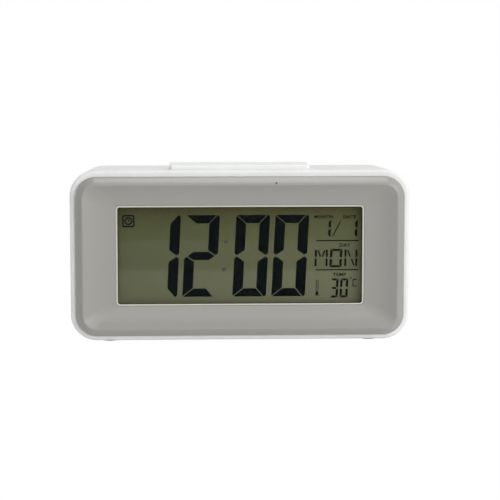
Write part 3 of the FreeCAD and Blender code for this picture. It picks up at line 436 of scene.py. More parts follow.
# clear lens: it lets most light through, shows a little gloss, and holds a little dust on its face
def makeLensFinish():
    material = makeFinish("clearAcrylic", (0.004, 0.005, 0.004), (0.02, 0.02, 0.018), (0.03, 0.08), 900,
                          0.001)
    tree = material.node_tree
    edge = tree.nodes.new("ShaderNodeLayerWeight")
    edge.inputs["Blend"].default_value = 0.3
    tree.links.new(spread(tree, edge.outputs["Facing"], 0.04, 0.4, 0.35, 1.0),
                   tree.nodes["Principled BSDF"].inputs["Alpha"])
    return material


# grey-green face of a reflective display, finely mottled; its soft bands of tone, darker upwards, and its
# darkening towards the left are painted shade and painted reflections
film = {"tones": ((0.176, 0.184, 0.108), (0.142, 0.15, 0.078), (0.118, 0.13, 0.056), (0.09, 0.088, 0.034)),
        "steps": ((27.4, 29.8), (39.6, 41.8), (44.0, 52.0)), "rough": (0.3, 0.4),
        "dim": (0.7, 0.72, 0.68), "sideShadeFrom": -60, "sideShadeTo": 30}


def makeFilmFinish():
    tones, rough = film["tones"], film["rough"]
    material = makeFinish("displayFilm", tones[0], rough=rough, grain=1500, depth=0.004, specular=0.1)
    tree = material.node_tree
    axes = axesOf(tree)
    skin = useGroup(tree, mouldGrain, placeOf(tree), Grain=1500.0, Cloud=45.0)
    colour = tones[0]
    # bands of tone by height: painted shade and painted reflections
    for tone, (low, high) in zip(tones[1:], film["steps"]):
        colour = mixColours(tree, spread(tree, axes["Z"], 0.0, 1.0, low * mm, high * mm), colour, tone)
    # darker towards the left side: painted shade
    side = spread(tree, axes["X"], 0.75, 0.0, film["sideShadeFrom"] * mm, film["sideShadeTo"] * mm)
    mask = addMath(tree, "MULTIPLY", side, spread(tree, skin.outputs["Clouds"], 0.7, 1.0))
    return paint(material, mixColours(tree, mask, colour, film["dim"], "MULTIPLY"))


# solder mask over copper tracks, with bare pads
def makeBoardFinish():
    material = makeFinish("boardGreen", (0.012, 0.1, 0.035), rough=(0.25, 0.35))
    tree = material.node_tree
    tracks = tree.nodes.new("ShaderNodeTexBrick")
    for title, value in (("Scale", 260.0), ("Mortar Size", 0.06), ("Color1", (0.012, 0.1, 0.035, 1)),
                         ("Color2", (0.014, 0.115, 0.04, 1)), ("Mortar", (0.03, 0.2, 0.06, 1))):
        tracks.inputs[title].default_value = value
    turn = tree.nodes.new("ShaderNodeMapping")
    turn.inputs["Rotation"].default_value = (math.radians(90), 0, 0)
    tree.links.new(placeOf(tree), turn.inputs["Vector"])
    tree.links.new(turn.outputs["Vector"], tracks.inputs["Vector"])
    pads = tree.nodes.new("ShaderNodeTexVoronoi")
    pads.inputs["Scale"].default_value = 190.0
    tree.links.new(placeOf(tree), pads.inputs["Vector"])
    bare = spread(tree, pads.outputs["Distance"], 1.0, 0.0, 0.16, 0.18)
    return paint(material, mixColours(tree, bare, tracks.outputs["Color"], (0.6, 0.57, 0.5)))


# plain jacket of a cell: slate body and pale bands; the middle row lies the other way round
jacket = {"body": (0.035, 0.085, 0.13), "rows": 3, "low": 11.1, "high": 43.8,
          "bands": ((11.0, 11.2, (0.5, 0.53, 0.55)), (12.6, 12.8, (0.16, 0.26, 0.33)),
                    (21.2, 21.6, (0.7, 0.7, 0.7)))}


def makeJacketFinish():
    colour = jacket["body"]
    material = makeFinish("cellJacket", colour, rough=(0.2, 0.3), metal=0.4)
    tree = material.node_tree
    axes = axesOf(tree)
    row = addMath(tree, "FLOOR", spread(tree, axes["Z"], 0.0, jacket["rows"], jacket["low"] * mm,
                                        jacket["high"] * mm))
    way = addMath(tree, "MULTIPLY_ADD", addMath(tree, "COMPARE", row, 1.0, 0.1), -2.0, 1.0)
    along = addMath(tree, "MULTIPLY", axes["X"], way)
    for start, end, tone in jacket["bands"]:
        colour = mixColours(tree, spread(tree, along, 0.0, 1.0, start * mm, end * mm), colour, tone)
    return paint(material, colour)


# flat cable: its ways show as even ribs
def makeRibbonFinish():
    material = makeFinish("ribbonGrey", (0.42, 0.42, 0.42), rough=(0.4, 0.5))
    tree = material.node_tree
    ways = tree.nodes.new("ShaderNodeTexWave")
    ways.bands_direction = "X"
    ways.inputs["Scale"].default_value = 250.0
    tree.links.new(placeOf(tree), ways.inputs["Vector"])
    return paint(material, mixColours(tree, ways.outputs["Fac"], (0.3, 0.3, 0.3), (0.5, 0.5, 0.5)))


finishes["lens_clear"] = makeLensFinish()
finishes["film"] = makeFilmFinish()
finishes["board"] = makeBoardFinish()
finishes["battery_jacket"] = makeJacketFinish()
finishes["ribbon_grey"] = makeRibbonFinish()
print("materials made")


# case: one tapered shell with a battery bay, screw tubes and openings
case = {
    "mouth": (-19.2, 67.5, 0.8, 68.8), "back": (21.8, 65.6, 0.8, 67.8), "corner": 10.3,
    "backRound": 1.8, "mouthRound": 1.2, "openingRound": 0.25,
    "room": ((-15.2, 65.51, 2.6, 66.9), (19.8, 63.893, 2.6, 66.049)), "roomCorner": 8.5,
    "seat": (65.47, 2.6, 66.22), "seatFrom": -21.0, "seatTo": -15.05,
    "screws": [(side * 56.8, 0, z) for side in (-1, 1) for z in (10.6, 59.0)],
    "tubeFrom": -8.45, "tubeRadius": 3.75, "boreRadius": 2.7, "shankRadius": 1.45, "tubeFloor": 2.5,
    "web": (60.75, 3.95, 0.7), "wallIn": 20.8, "through": (18.8, 22.8),
    "ring": (-41, 17.2, 25.8), "ringOuter": 8.6, "ringInner": 6.5,
    "keyPost": (49.0, 13.5, 56.3), "barPost": (34.5, -4.95, 58.0), "barPostLength": 9.2,
    "postRadius": 2.0, "pilotRadius": 0.93, "pilotLength": 5.4,
    "barOpening": ((-28.2, -14.4, 60.0), (28.2, 4.5, 70.0)), "barCorner": 1.7,   # clear of the bar by 0.2
}
bay = {
    "outside": ((-28.3, 7.1, 7.5), (28.3, 20.8, 47.4)), "inside": ((-25.0, 8.7, 10.8), (25.0, 23.0, 44.1)),
    "doorSeat": ((-26.7, 20.0, 9.1), (26.7, 23.0, 45.8)), "thumb": (27.6, 7.0, 45.6, 46.8),
    "hookX": 14.0, "hookSlot": ((-3.4, 17.256, 7.3), (3.4, 20.1, 11.8)),
    "fins": (22.0, 32.9), "fin": ((-23.65, 7.9, -0.4), (23.65, 10.9, 0.4)),
}
keyPlaces = {"set": 34.0, "up": 20.0, "down": 6.0, "alarm": -8.0, "unit": -22.0}
keyRow = {"z": 56.3, "half": 4.0, "reach": 2.5, "corner": 2.4, "play": 0.2}
rearOpenings = {
    "knob": ((-42.25, 54.45), (-34.25, 58.15)),
    "sound": ((-41.5, 21.8), (-40.5, 29.8), -4.4, 2.2, 5), "vent": ((36.9, 43.8), (37.9, 49.8), 0.5, 2.4, 4),
}


def throughRear(name, low, high):
    near, far = case["through"]
    return addBox(name, (low[0], near, low[1]), (high[0], far, high[1]))


def makeCase():
    shell = addBlock("caseShell", case["mouth"], case["back"], case["corner"], 16)
    roundEdges(shell, onPlane(1, case["back"][0]), case["backRound"], 6)
    roundEdges(shell, onPlane(1, case["mouth"][0]), case["mouthRound"], 5)
    cut(shell, [addBlock("room", *case["room"], case["roomCorner"]),
                addPrism("seat", case["seatFrom"], case["seatTo"], case["seat"], case["roomCorner"])])
    start, wall, outer = case["tubeFrom"], case["wallIn"], case["tubeRadius"]
    (ringX, ringY, ringZ), (webX, webHalf, webThick) = case["ring"], case["web"]
    (postX, postY, postZ), (barX, barY, barZ) = case["keyPost"], case["barPost"]
    ring = addBar("buzzerRing", case["ring"], backward, case["ringOuter"], wall - ringY, 48)
    cut(ring, [addBar("ringRoom", (ringX, ringY - 1, ringZ), backward, case["ringInner"], wall - ringY, 48)])
    added = [addBox("bay", *bay["outside"]), ring]
    added += repeated(addBar("tube", (0, start, 0), backward, outer, wall - start, 32), case["screws"])
    added += repeated(addBox("web", (-webHalf, start + outer, -webThick), (webHalf, wall, webThick)),
                      [(math.copysign(webX, place[0]), 0, place[2]) for place in case["screws"]])
    added += spaced(addBar("keyPost", (0, postY, postZ), backward, case["postRadius"], wall - postY, 24),
                    (-postX, postX))
    added += spaced(addBar("barPost", (0, barY, barZ), upward, case["postRadius"], case["barPostLength"], 24),
                    (-barX, barX))
    add(shell, added)

    thumbY, thumbRadius, thumbLow, thumbHigh = bay["thumb"]
    half, reach = keyRow["half"] + keyRow["play"], keyRow["reach"] + keyRow["play"]
    z, (near, far) = keyRow["z"], case["through"]
    removed = [addBox("bayRoom", *bay["inside"]), addBox("doorSeat", *bay["doorSeat"]),
               addBar("thumb", (0, thumbY, thumbLow), upward, thumbRadius, thumbHigh - thumbLow, 64),
               throughRear("knobOpening", *rearOpenings["knob"])]
    removed += spaced(addBox("hookSlot", *bay["hookSlot"]), (-bay["hookX"], bay["hookX"]))
    radius, length, floor = case["pilotRadius"], case["pilotLength"], case["tubeFloor"]
    removed += spaced(addBar("postPilot", (0, postY - 1, postZ), backward, radius, length, 16),
                      (-postX, postX))
    removed += spaced(addBar("barPilot", (0, barY, barZ - 1), upward, radius, length, 16), (-barX, barX))
    removed += repeated(addBar("bore", (0, start + floor, 0), backward, case["boreRadius"], 30, 40),
                        case["screws"])
    removed += repeated(addBar("shank", (0, start - 1, 0), backward, case["shankRadius"], floor + 2, 24),
                        case["screws"])
    removed += spaced(addPrism("keyHole", near, far, (half, z - reach, z + reach),
                               keyRow["corner"] + keyRow["play"], 10), keyPlaces.values())
    for name in ("sound", "vent"):
        low, high, first, pitch, count = rearOpenings[name]
        removed += spaced(throughRear(name, low, high), [first + pitch * step for step in range(count)])
    barOpening = addBox("barOpening", *case["barOpening"])
    roundEdges(barOpening, alongAxis(2), case["barCorner"], 10)
    cut(shell, removed + [barOpening])
    add(shell, repeated(addBox("fin", *bay["fin"]), [(0, 0, z) for z in bay["fins"]]))
    softenOpenings(shell, 1, case["back"][0], case["openingRound"])
    smooth(shell)
    handOver(shell, "root", "case_white", ["rear_case"])


makeCase()
print("case made")


# bezel: convex bevel, ridge, dished face and the lens's rebate
bezel = {
    "half": 65.4, "low": 2.67, "high": 66.2, "front": -22.8, "back": -15.7, "corner": 8.4,
    "bevel": 2.8, "bevelBulge": 0.31, "land": 0.45, "ridgeRound": 0.16, "dishSink": (0.6, 0.75, 0.45),
    "dishBottom": -19.8, "ledge": -18.55, "pad": -17.55, "middle": 34.8,
    "rebate": (49.4, 20.1, 1.7), "lip": 0.8, "segments": 12,
    "root": -21.0, "wall": 1.8, "pinhole": (14.15, 63.8, 0.35), "sensor": (14.5, 63.45), "sensorRadius": 1.3,
    "hollowBack": -14, "hollowBevel": 2.65, "hollowBulge": 0.25, "backing": 2.0, "posts": (44.0, 26.9),
    "boss": (-20.0, 3.0, 11.55), "bossPilot": (-16.55, 1.33, 12),                  # from, radius, length
    "post": (-20.4, 2.0, 7.75), "postPilot": (-17.05, 0.93, 6), "collar": (0.4, 1.75, 2.2),
}


# outline about the window's middle, as addPrism takes it
def aboutWindow(half, reach):
    return half, bezel["middle"] - reach, bezel["middle"] + reach


def makeBezel():
    half, low, high, front, back = (bezel[key] for key in ("half", "low", "high", "front", "back"))
    segments = bezel["segments"]
    shell = addPrism("bezelShell", front, back, (half, low, high), bezel["corner"], segments)
    roundEdges(shell, onPlane(1, front), bezel["bevel"], 8, bezel["bevelBulge"])
    pickFaces(shell, lambda middle, normal: normal.y < -0.99 and abs(middle.y - front) < 0.01)
    bpy.ops.mesh.inset(thickness=bezel["land"] * mm)
    bpy.ops.mesh.delete(type="FACE")
    done()
    rebateHalf, rebateReach, rebateCorner = bezel["rebate"]
    bottom, ledge, lip = bezel["dishBottom"], bezel["ledge"], bezel["lip"]
    rebate = addPrism("rebate", bottom, ledge, aboutWindow(rebateHalf, rebateReach), rebateCorner, segments)
    pickFaces(rebate, lambda middle, normal: normal.y < -0.99)
    bpy.ops.mesh.delete(type="FACE")
    done()
    pickFaces(rebate, lambda middle, normal: normal.y > 0.99)
    bpy.ops.mesh.inset(thickness=lip * mm)
    bpy.ops.mesh.extrude_region_move(TRANSFORM_OT_translate={"value": (0, 5 * mm, 0)})
    done()
    shell = joined("bezelShell", [shell, rebate])
    useOnly(shell)
    bpy.context.tool_settings.mesh_select_mode = (False, True, False)
    bpy.ops.object.mode_set(mode="EDIT")
    bpy.ops.mesh.select_all(action="DESELECT")
    bpy.ops.mesh.select_non_manifold(use_wire=False, use_multi_face=False, use_non_contiguous=False,
                                     use_verts=False)
    bpy.ops.mesh.bridge_edge_loops(number_cuts=len(bezel["dishSink"]), interpolation="LINEAR")
    bpy.ops.mesh.select_all(action="SELECT")
    bpy.ops.mesh.normals_make_consistent(inside=False)
    done()
    inside = half - bezel["bevel"] - bezel["land"]
    for step, sink in reversed(list(enumerate(bezel["dishSink"], 1))):
        level = onPlane(1, front + (bottom - front) * step / (len(bezel["dishSink"]) + 1))
        pickEdges(shell, lambda start, end: level(start, end) and abs(start.x) < inside
                  and abs(start.z - bezel["middle"]) < inside - half + (high - low) / 2)
        bpy.ops.transform.translate(value=(0, sink * mm, 0))
        done()
    for inset in (bezel["bevel"], bezel["bevel"] + bezel["land"]):
        roundEdges(shell, ridgeLoop(inset), bezel["ridgeRound"], 2)

    root, wall, pad = bezel["root"], bezel["wall"], bezel["pad"]
    hollow = addPrism("hollow", root, bezel["hollowBack"], (half - wall, low + wall, high - wall),
                      bezel["corner"] - wall)
    roundEdges(hollow, onPlane(1, root), bezel["hollowBevel"], 4, bezel["hollowBulge"])
    ridgeHalf, ridgeReach = half - bezel["bevel"], (high - low) / 2 - bezel["bevel"]
    backHalf, backReach = rebateHalf + bezel["backing"], rebateReach + bezel["backing"]
    backing = aboutWindow(backHalf, backReach)
    cut(hollow, [addBlock("dishBacking", (root - 0.01, *aboutWindow(ridgeHalf, ridgeReach)),
                          (bottom + wall, *backing), 0),
                 addPrism("padBacking", root - 1, pad, backing, 0)])
    cut(shell, [hollow])
    postX, postZ = bezel["posts"]
    posts = [(x, 0, z) for x in (-postX, postX) for z in (-postZ, postZ)]
    (holeX, holeZ, holeRadius), (sensorX, sensorZ) = bezel["pinhole"], bezel["sensor"]

    def barsAt(name, z, sides, places):
        start, radius, length = bezel[name]
        return repeated(addBar(name, (0, start, z), backward, radius, length, sides), places)

    middle, screws = bezel["middle"], case["screws"]
    sunk, collarRadius, collarLength = bezel["collar"]
    bosses = barsAt("boss", 0, 32, screws) + barsAt("post", middle, 24, posts)
    bosses.append(addBar("collar", (sensorX, root + sunk, sensorZ), backward, collarRadius, collarLength, 24))
    add(shell, bosses)
    holes = barsAt("bossPilot", 0, 20, screws) + barsAt("postPilot", middle, 16, posts)
    holes += [addBar("pinhole", (holeX, front - 1.2, holeZ), backward, holeRadius, 6, 20),
              addBar("sensorRoom", (sensorX, root, sensorZ), backward, bezel["sensorRadius"], 5, 24)]
    window = addPrism("window", -19, -12, aboutWindow(rebateHalf - lip, rebateReach - lip),
                      rebateCorner - lip, segments)
    cut(shell, [window] + holes)
    smooth(shell, 24)
    handOver(shell, "root", "bezel_grey", ["front_bezel"])


# the edges of the loop that runs round the front face at this inset
def ridgeLoop(inset):
    half, reach = bezel["half"] - inset, (bezel["high"] - bezel["low"]) / 2 - inset
    radius, middle = bezel["corner"] - inset, (bezel["high"] + bezel["low"]) / 2

    def outside(point):
        x, z = abs(point.x) - half + radius, abs(point.z - middle) - reach + radius
        return (math.hypot(x, z) if min(x, z) > 0 else max(x, z)) - radius

    return lambda start, end: all(abs(point.y - bezel["front"]) < 0.01 and abs(outside(point)) < 0.06
                                  for point in (start, end))


makeBezel()
print("bezel made")


# lens; its face has a fine cream border, a painted highlight of the light that the lens's edge catches, with
# a dark line inside it, painted shade of the window's walls
lens = {"half": 49.35, "reach": 20.05, "corner": 1.65, "front": -19.75, "back": -18.56, "round": 0.08,
        "border": 0.6, "borderInset": 0.1, "borderThick": 0.02, "shade": 0.32}


def makeLens():
    half, reach, front, corner = (lens[key] for key in ("half", "reach", "front", "corner"))
    plate = addPrism("lensPlate", front, lens["back"], aboutWindow(half, reach), corner, 10)
    roundEdges(plate, onPlane(1, front), lens["round"], 3)
    smooth(plate)
    handOver(plate, "root", "lens_clear", ["display_lens"])
    # the cream border is a painted highlight, and the dark line inside it is painted shade
    inset = lens["borderInset"]
    for name, wide, finish in (("lensBorder", lens["border"], edgeHighlightFinish),
                               ("lensShade", lens["shade"], shadeFinish)):
        line = addPrism(name, front - lens["borderThick"], front, aboutWindow(half - inset, reach - inset),
                        corner - inset, 10)
        hollowOut(line, wide)
        smooth(line)
        handOver(line, "root", "frame_white", finish=finish)
        inset += wide


makeLens()
print("lens made")


# what the display shows: bars, words and a few signs, a hair in front of its film
display = {"front": -16.97, "thick": 0.02, "lean": 0.052, "tip": 0.27, "blunt": 0.1, "slope": 0.71}
bigFigure = {"width": 13.45, "height": 32.75, "upright": 4.05, "level": 3.3, "gap": 0.3, "spare": 1.15}
dateFigure = {"width": 3.6, "height": 7.0, "upright": 1.0, "level": 0.85, "gap": 0.2, "spare": 0.2}
heatFigure = {"width": 3.2, "height": 7.7, "upright": 0.95, "level": 0.85, "gap": 0.18, "spare": 0.2}
degreeFigure = {"width": 1.9, "height": 3.1, "upright": 0.42, "level": 0.4, "gap": 0.06, "spare": 0.05}
dayFigure = {"width": 4.85, "height": 7.4, "upright": 0.95, "level": 0.85, "gap": 0.18, "spare": 0.2}
barsOf = {"0": "abcdef", "1": "bc", "2": "abged", "3": "abgcd", "C": "afed"}
shown = {
    "big": (bigFigure, (("1", -37.75, 17.93), ("2", -22.25, 17.93),
                        ("0", -2.25, 17.93), ("0", 13.35, 17.93))),
    "date": (dateFigure, (("1", 32.7, 41.65), ("1", 43.35, 41.65))),
    "day": (dayFigure, (("0", 35.95, 29.5),)),
    "heat": (heatFigure, (("3", 36.15, 17.3), ("0", 40.05, 17.3))),
    "degree": (degreeFigure, (("C", 45.1, 21.7),)),
}
wordsShown = (("MONTH", 33.4, 49.2, 1.3), ("DATE", 43.7, 49.2, 1.3), ("DAY", 41.9, 37.8, 1.35),
              ("TEMP", 39.8, 25.95, 1.35))
linesShown = (      # rules, stroke of the date, letters of the day, thermometer, hands of the alarm sign
    (30.4, 40.25, 47.4, 40.25, 0.46), (30.2, 28.5, 47.3, 28.5, 0.46), (37.0, 42.0, 40.1, 48.0, 0.42),
    (30.35, 36.6, 30.3, 33.7, 0.8), (30.25, 33.1, 30.2, 30.0, 0.8), (34.75, 36.6, 34.7, 33.7, 0.8),
    (34.65, 33.1, 34.6, 30.0, 0.8), (31.2, 36.4, 32.2, 33.8, 0.6), (33.9, 36.4, 33.0, 33.8, 0.6),
    (42.25, 36.6, 42.2, 33.7, 0.8), (42.15, 33.1, 42.1, 30.0, 0.8), (46.65, 36.6, 46.6, 33.7, 0.8),
    (46.55, 33.1, 46.5, 30.0, 0.8), (43.1, 36.4, 44.1, 33.8, 0.6), (44.6, 32.9, 45.6, 30.3, 0.6),
    (30.6, 24.5, 30.5, 19.4, 0.26), (31.3, 24.5, 31.2, 19.4, 0.26), (30.0, 18.3, 31.7, 18.3, 0.3),
    (-44.35, 48.3, -44.35, 49.1, 0.42), (-44.45, 48.4, -43.85, 48.4, 0.42),
)
alarmSign = {"x": -44.35, "z": 48.4, "half": 2.45, "rim": 0.58, "corner": 0.8, "ring": 1.6}
roundSigns = {"bulb": (30.85, 19.1, 0.62), "degree": (44.35, 25.2, 0.42), "degreeRim": 0.2,
              "dots": ((-5.6, 40.0, 0.85), (-6.4, 28.9, 0.85))}
lettering = {"capShare": 0.72, "spacing": 1.12, "bold": 0.055, "wide": 1.08}


def addPlate(name, lowX, lowZ, highX, highZ):
    return addBox(name, (lowX, display["front"], lowZ), (highX, display["front"] + display["thick"], highZ))


def addDisc(name, x, z, radius, sides=24):
    return addBar(name, (x, display["front"], z), backward, radius, display["thick"], sides)


# the seven bars of one size of figure, made once at the origin; the mitre between two bars runs from the
# inner corner to the outer one, or on the right to a spare length short of it
def makeBars(size):
    width, height, upright, level, gap = (size[key] for key in ("width", "height", "upright", "level", "gap"))
    middle, reach, slope = height / 2, width / 2, display["slope"]
    blunt, tip = display["blunt"] * level, display["tip"] * upright

    def cutCorner(piece, side, rise, keep):
        spare = size["spare"] if side > 0 else 0
        across, slant = upright - spare, math.hypot(upright - spare, level)
        outX, outZ = keep * side * level / slant, -keep * rise * across / slant
        trim(piece, reach + side * (reach - spare) - outX * gap / 2, middle + rise * middle - outZ * gap / 2,
             outX, outZ)
        trim(piece, reach + side * (reach - blunt), middle + rise * (middle - blunt), side, rise)

    bars = {}
    for key, rise in (("a", 1), ("d", -1)):
        edge = middle + rise * middle
        bars[key] = addPlate(key, 0, min(edge, edge - rise * level), width, max(edge, edge - rise * level))
        for side in (-1, 1):
            cutCorner(bars[key], side, rise, 1)
    for key, side, rise in (("b", 1, 1), ("c", 1, -1), ("e", -1, -1), ("f", -1, 1)):
        edge = reach + side * reach
        bars[key] = addPlate(key, min(edge, edge - side * upright), min(middle, middle + rise * middle),
                             max(edge, edge - side * upright), max(middle, middle + rise * middle))
        cutCorner(bars[key], side, rise, -1)
        tipX, tipZ = edge - side * tip, middle + rise * gap
        trim(bars[key], tipX, tipZ, -side * slope, -rise)
        trim(bars[key], tipX, tipZ, side * slope, -rise)
    bars["g"] = addPlate("g", tip + gap, middle - level / 2, width - tip - gap, middle + level / 2)
    for side in (-1, 1):
        for rise in (-1, 1):
            trim(bars["g"], reach + side * (reach - tip - gap), middle, side * slope, rise)
    return bars


# copies of the bars that a figure needs, leaned about its own middle
def writeFigure(bars, size, figure, x, z):
    copies = [twinOf(bars[key]) for key in barsOf[figure]]
    lean = Matrix.Identity(4)
    lean[0][2] = display["lean"]
    lean[0][3] = -display["lean"] * size["height"] / 2 * mm
    for twin in copies:
        twin.data.transform(Matrix.Translation((x * mm, 0, z * mm)) @ lean)
    return copies


def addLine(startX, startZ, endX, endZ, stroke):
    length = math.hypot(endX - startX, endZ - startZ)
    piece = addPlate("line", -length / 2, -stroke / 2, length / 2, stroke / 2)
    roundEdges(piece, alongAxis(1), stroke * 0.2, 2)
    turn = Matrix.Rotation(-math.atan2(endZ - startZ, endX - startX), 4, "Y")
    piece.data.transform(Matrix.Translation(((startX + endX) / 2 * mm, 0, (startZ + endZ) / 2 * mm)) @ turn)
    return piece


# words as a thin raised plate on an upright face, seen from the front, or from behind where turned
def addWords(text, x, z, height, face, thick, turned=False, bold=0.0, wide=1.0):
    bpy.ops.object.select_all(action="DESELECT")
    bpy.ops.object.text_add(location=(0, 0, 0))
    words = bpy.context.object
    words.data.body = text
    words.data.size = height / lettering["capShare"] * mm
    words.data.align_x = "CENTER"
    words.data.extrude = thick / 2 * mm
    words.data.space_character = lettering["spacing"]
    words.data.offset = bold * mm
    words.data.resolution_u = 4
    useOnly(words)
    bpy.ops.object.convert(target="MESH")
    stand = Matrix.Rotation(math.radians(90), 4, "X")
    turn = Matrix.Rotation(math.radians(180 if turned else 0), 4, "Z")
    words.data.transform(Matrix.Translation((x * mm, face * mm, z * mm)) @ (turn @ stand)
                         @ Matrix.Diagonal((wide, 1, 1, 1)))
    return words


def makeShown():
    figures = {}
    for name, (size, row) in shown.items():
        bars = makeBars(size)
        figures[name] = [bar for figure in row for bar in writeFigure(bars, size, *figure)]
        for bar in bars.values():
            bpy.data.objects.remove(bar)
    front, thick = display["front"], display["thick"]
    time = joined("timeFigures", figures.pop("big"))
    small = [bar for row in figures.values() for bar in row]
    small += [addLine(*line) for line in linesShown]
    small += [addDisc("bulb", *roundSigns["bulb"])]
    degree = addDisc("degree", *roundSigns["degree"])
    hollowOut(degree, roundSigns["degreeRim"])
    x, z, half, ring = (alarmSign[key] for key in ("x", "z", "half", "ring"))
    frameSign = addPlate("alarmFrame", x - half, z - half, x + half, z + half)
    roundEdges(frameSign, alongAxis(1), alarmSign["corner"], 6)
    dial = addDisc("alarmDial", x, z, ring, 48)
    for sign in (frameSign, dial):
        hollowOut(sign, alarmSign["rim"])
    signs = joined("dateFigures", small + [degree, frameSign, dial])
    words = joined("displayWords", [addWords(*word, front + thick / 2, thick, bold=lettering["bold"],
                                             wide=lettering["wide"]) for word in wordsShown])
    dots = joined("colonDots", [addDisc("dot", *dot) for dot in roundSigns["dots"]])
    for piece, finish in ((time, inkFinish), (signs, inkFinish), (words, inkFinish), (dots, faintInkFinish)):
        smooth(piece)
        handOver(piece, "root", "resin_black", finish=finish)


makeShown()
print("display made")


# push bar on top
bar = {"half": 28.0, "front": -14.2, "back": 4.3, "top": 70.3, "corner": 1.5, "round": 0.5,
       "low": 64.97, "flange": 0.8, "flangeTop": 65.97, "wall": 1.5, "roof": 1.6, "ribs": (-20.0, 0.0, 20.0),
       "stems": (-20.0, 20.0), "stemLow": 62.3, "middle": -4.95, "ribHalf": 0.5, "stemHalf": 1.5,
       "roomLow": 60, "sunk": 0.8}


def makeBar():
    half, front, back, top, low = (bar[key] for key in ("half", "front", "back", "top", "low"))
    body = addBox("pushBar", (-half, front, low), (half, back, top))
    roundEdges(body, alongAxis(2), bar["corner"], 10)
    roundEdges(body, onPlane(2, top), bar["round"], 6)
    grow, wall, roof, middle = bar["flange"], bar["wall"], top - bar["roof"], bar["middle"]
    rib, stem, sunk = bar["ribHalf"], bar["stemHalf"], roof + bar["sunk"]
    add(body, [addBox("flange", (-half - grow, front - grow, low - 0.001),
                      (half + grow, back + grow, bar["flangeTop"]))])
    cut(body, [addBox("barRoom", (-half + wall, front + wall, bar["roomLow"]),
                      (half - wall, back - wall, roof))])
    ribs = spaced(addBox("rib", (-rib, front + wall / 2, low), (rib, back - wall / 2, sunk)), bar["ribs"])
    stems = spaced(addBox("stem", (-stem, middle - stem, bar["stemLow"]), (stem, middle + stem, sunk)),
                   bar["stems"])
    add(body, ribs + stems)
    smooth(body)
    handOver(body, "snooze", "bar_white", ["snooze_bar"])


makeBar()
print("push bar made")


# keys on the back: each has a hidden flange and a stem, and a shallow dish for the fingertip
keyShape = {"top": 22.8, "flangeFrom": 18.5, "flangeTo": 19.5, "grow": 1.0, "round": 0.55, "stemHalf": 1.5,
            "stemFrom": 17.8, "dish": 0.22}


def makeKeys():
    half, reach, z = keyRow["half"], keyRow["reach"], keyRow["z"]
    low, high, grow, top = (keyShape[key] for key in ("flangeFrom", "flangeTo", "grow", "top"))
    cap = addPrism("key", low, top, (half, z - reach, z + reach), keyRow["corner"], 10)
    roundEdges(cap, onPlane(1, top), keyShape["round"], 5)
    dish, stem = keyShape["dish"], keyShape["stemHalf"]
    radius = (half ** 2 + dish ** 2) / (2 * dish)
    cut(cap, [addBar("dish", (0, top + radius - dish, z - 6), upward, radius, 12, 400)])
    add(cap, [addBox("flange", (-half - grow, low - 0.001, z - reach - grow),
                     (half + grow, high, z + reach + grow)),
              addBox("stem", (-stem, keyShape["stemFrom"], z - stem), (stem, high, z + stem))])
    smooth(cap)
    for name, key in zip(keyPlaces, spaced(cap, keyPlaces.values())):
        key.name = name + "Key"
        handOver(key, name, "key_white", [name + "_key"])


makeKeys()

# knob of the light switch, with three finger grooves
knob = {"middle": -37.0, "half": 2.5, "reach": 1.6, "back": 17.2, "top": 22.4, "round": 0.25,
        "cover": (5.75, 2.6, 18.5, 19.5), "groove": 0.5, "grooveDepth": 0.35, "pitch": 1.0,
        "grooveRound": 0.12, "socketHalf": 1.0, "socketTo": 18.6}


def makeKnob():
    x, z, half, reach, top = knob["middle"], keyRow["z"], knob["half"], knob["reach"], knob["top"]
    body = addBox("slideKnob", (x - half, knob["back"], z - reach), (x + half, top, z + reach))
    roundEdges(body, onPlane(1, top), knob["round"], 4)
    bottom = top - knob["grooveDepth"]
    groove = addBox("groove", (x - knob["groove"] / 2, bottom, z - 3), (x + knob["groove"] / 2, 23.5, z + 3))
    roundEdges(groove, lambda start, end: onPlane(1, bottom)(start, end) and abs((end - start).z) > 1,
               knob["grooveRound"], 3)
    cut(body, spaced(groove, [step * knob["pitch"] for step in (-1, 0, 1)]))
    coverX, coverZ, back, front = knob["cover"]
    add(body, [addBox("cover", (x - coverX, back, z - coverZ), (x + coverX, front, z + coverZ))])
    socket, to = knob["socketHalf"], knob["socketTo"]
    cut(body, [addBox("leverSocket", (x - socket, 16, z - socket), (x + socket, to, z + socket))])
    smooth(body)
    handOver(body, "light_switch", "key_white", ["slide_knob"])


makeKnob()

# raised grey words beside the keys: what each does
marks = {"height": 1.5, "raise": 0.12, "z": 60.7, "lowZ": 51.2,
         "words": {"SET": 34.0, "UP": 20.0, "DOWN": 6.0, "ALARM": -8.0, "°C/°F": -22.0, "LIGHT": -38.25},
         "switchWords": {"OFF": -36.0, "ON": -40.9}}


def makeMarks():
    thick, face = marks["raise"], case["back"][0] + marks["raise"] / 2 - 0.01
    words = [addWords(text, x, z, marks["height"], face, thick, True)
             for row, z in (("words", marks["z"]), ("switchWords", marks["lowZ"]))
             for text, x in marks[row].items()]
    handOver(joined("rearMarks", words), "root", "case_white", finish=markFinish)


makeMarks()

# feet
foot = {"x": 52.0, "y": (-12.2, 14.8), "radius": 3.2, "height": 0.8, "round": 0.3}


def makeFeet():
    pad = addBar("foot", (0, 0, 0), upward, foot["radius"], foot["height"], 48)
    roundEdges(pad, onPlane(2, 0), foot["round"], 4)
    places = [(x, y, 0) for x in (-foot["x"], foot["x"]) for y in foot["y"]]
    pads = joined("rubberFeet", repeated(pad, places))
    smooth(pads)
    handOver(pads, "root", "foot_rubber", ["rubber_feet"])


makeFeet()
print("keys, knob, marks and feet made")


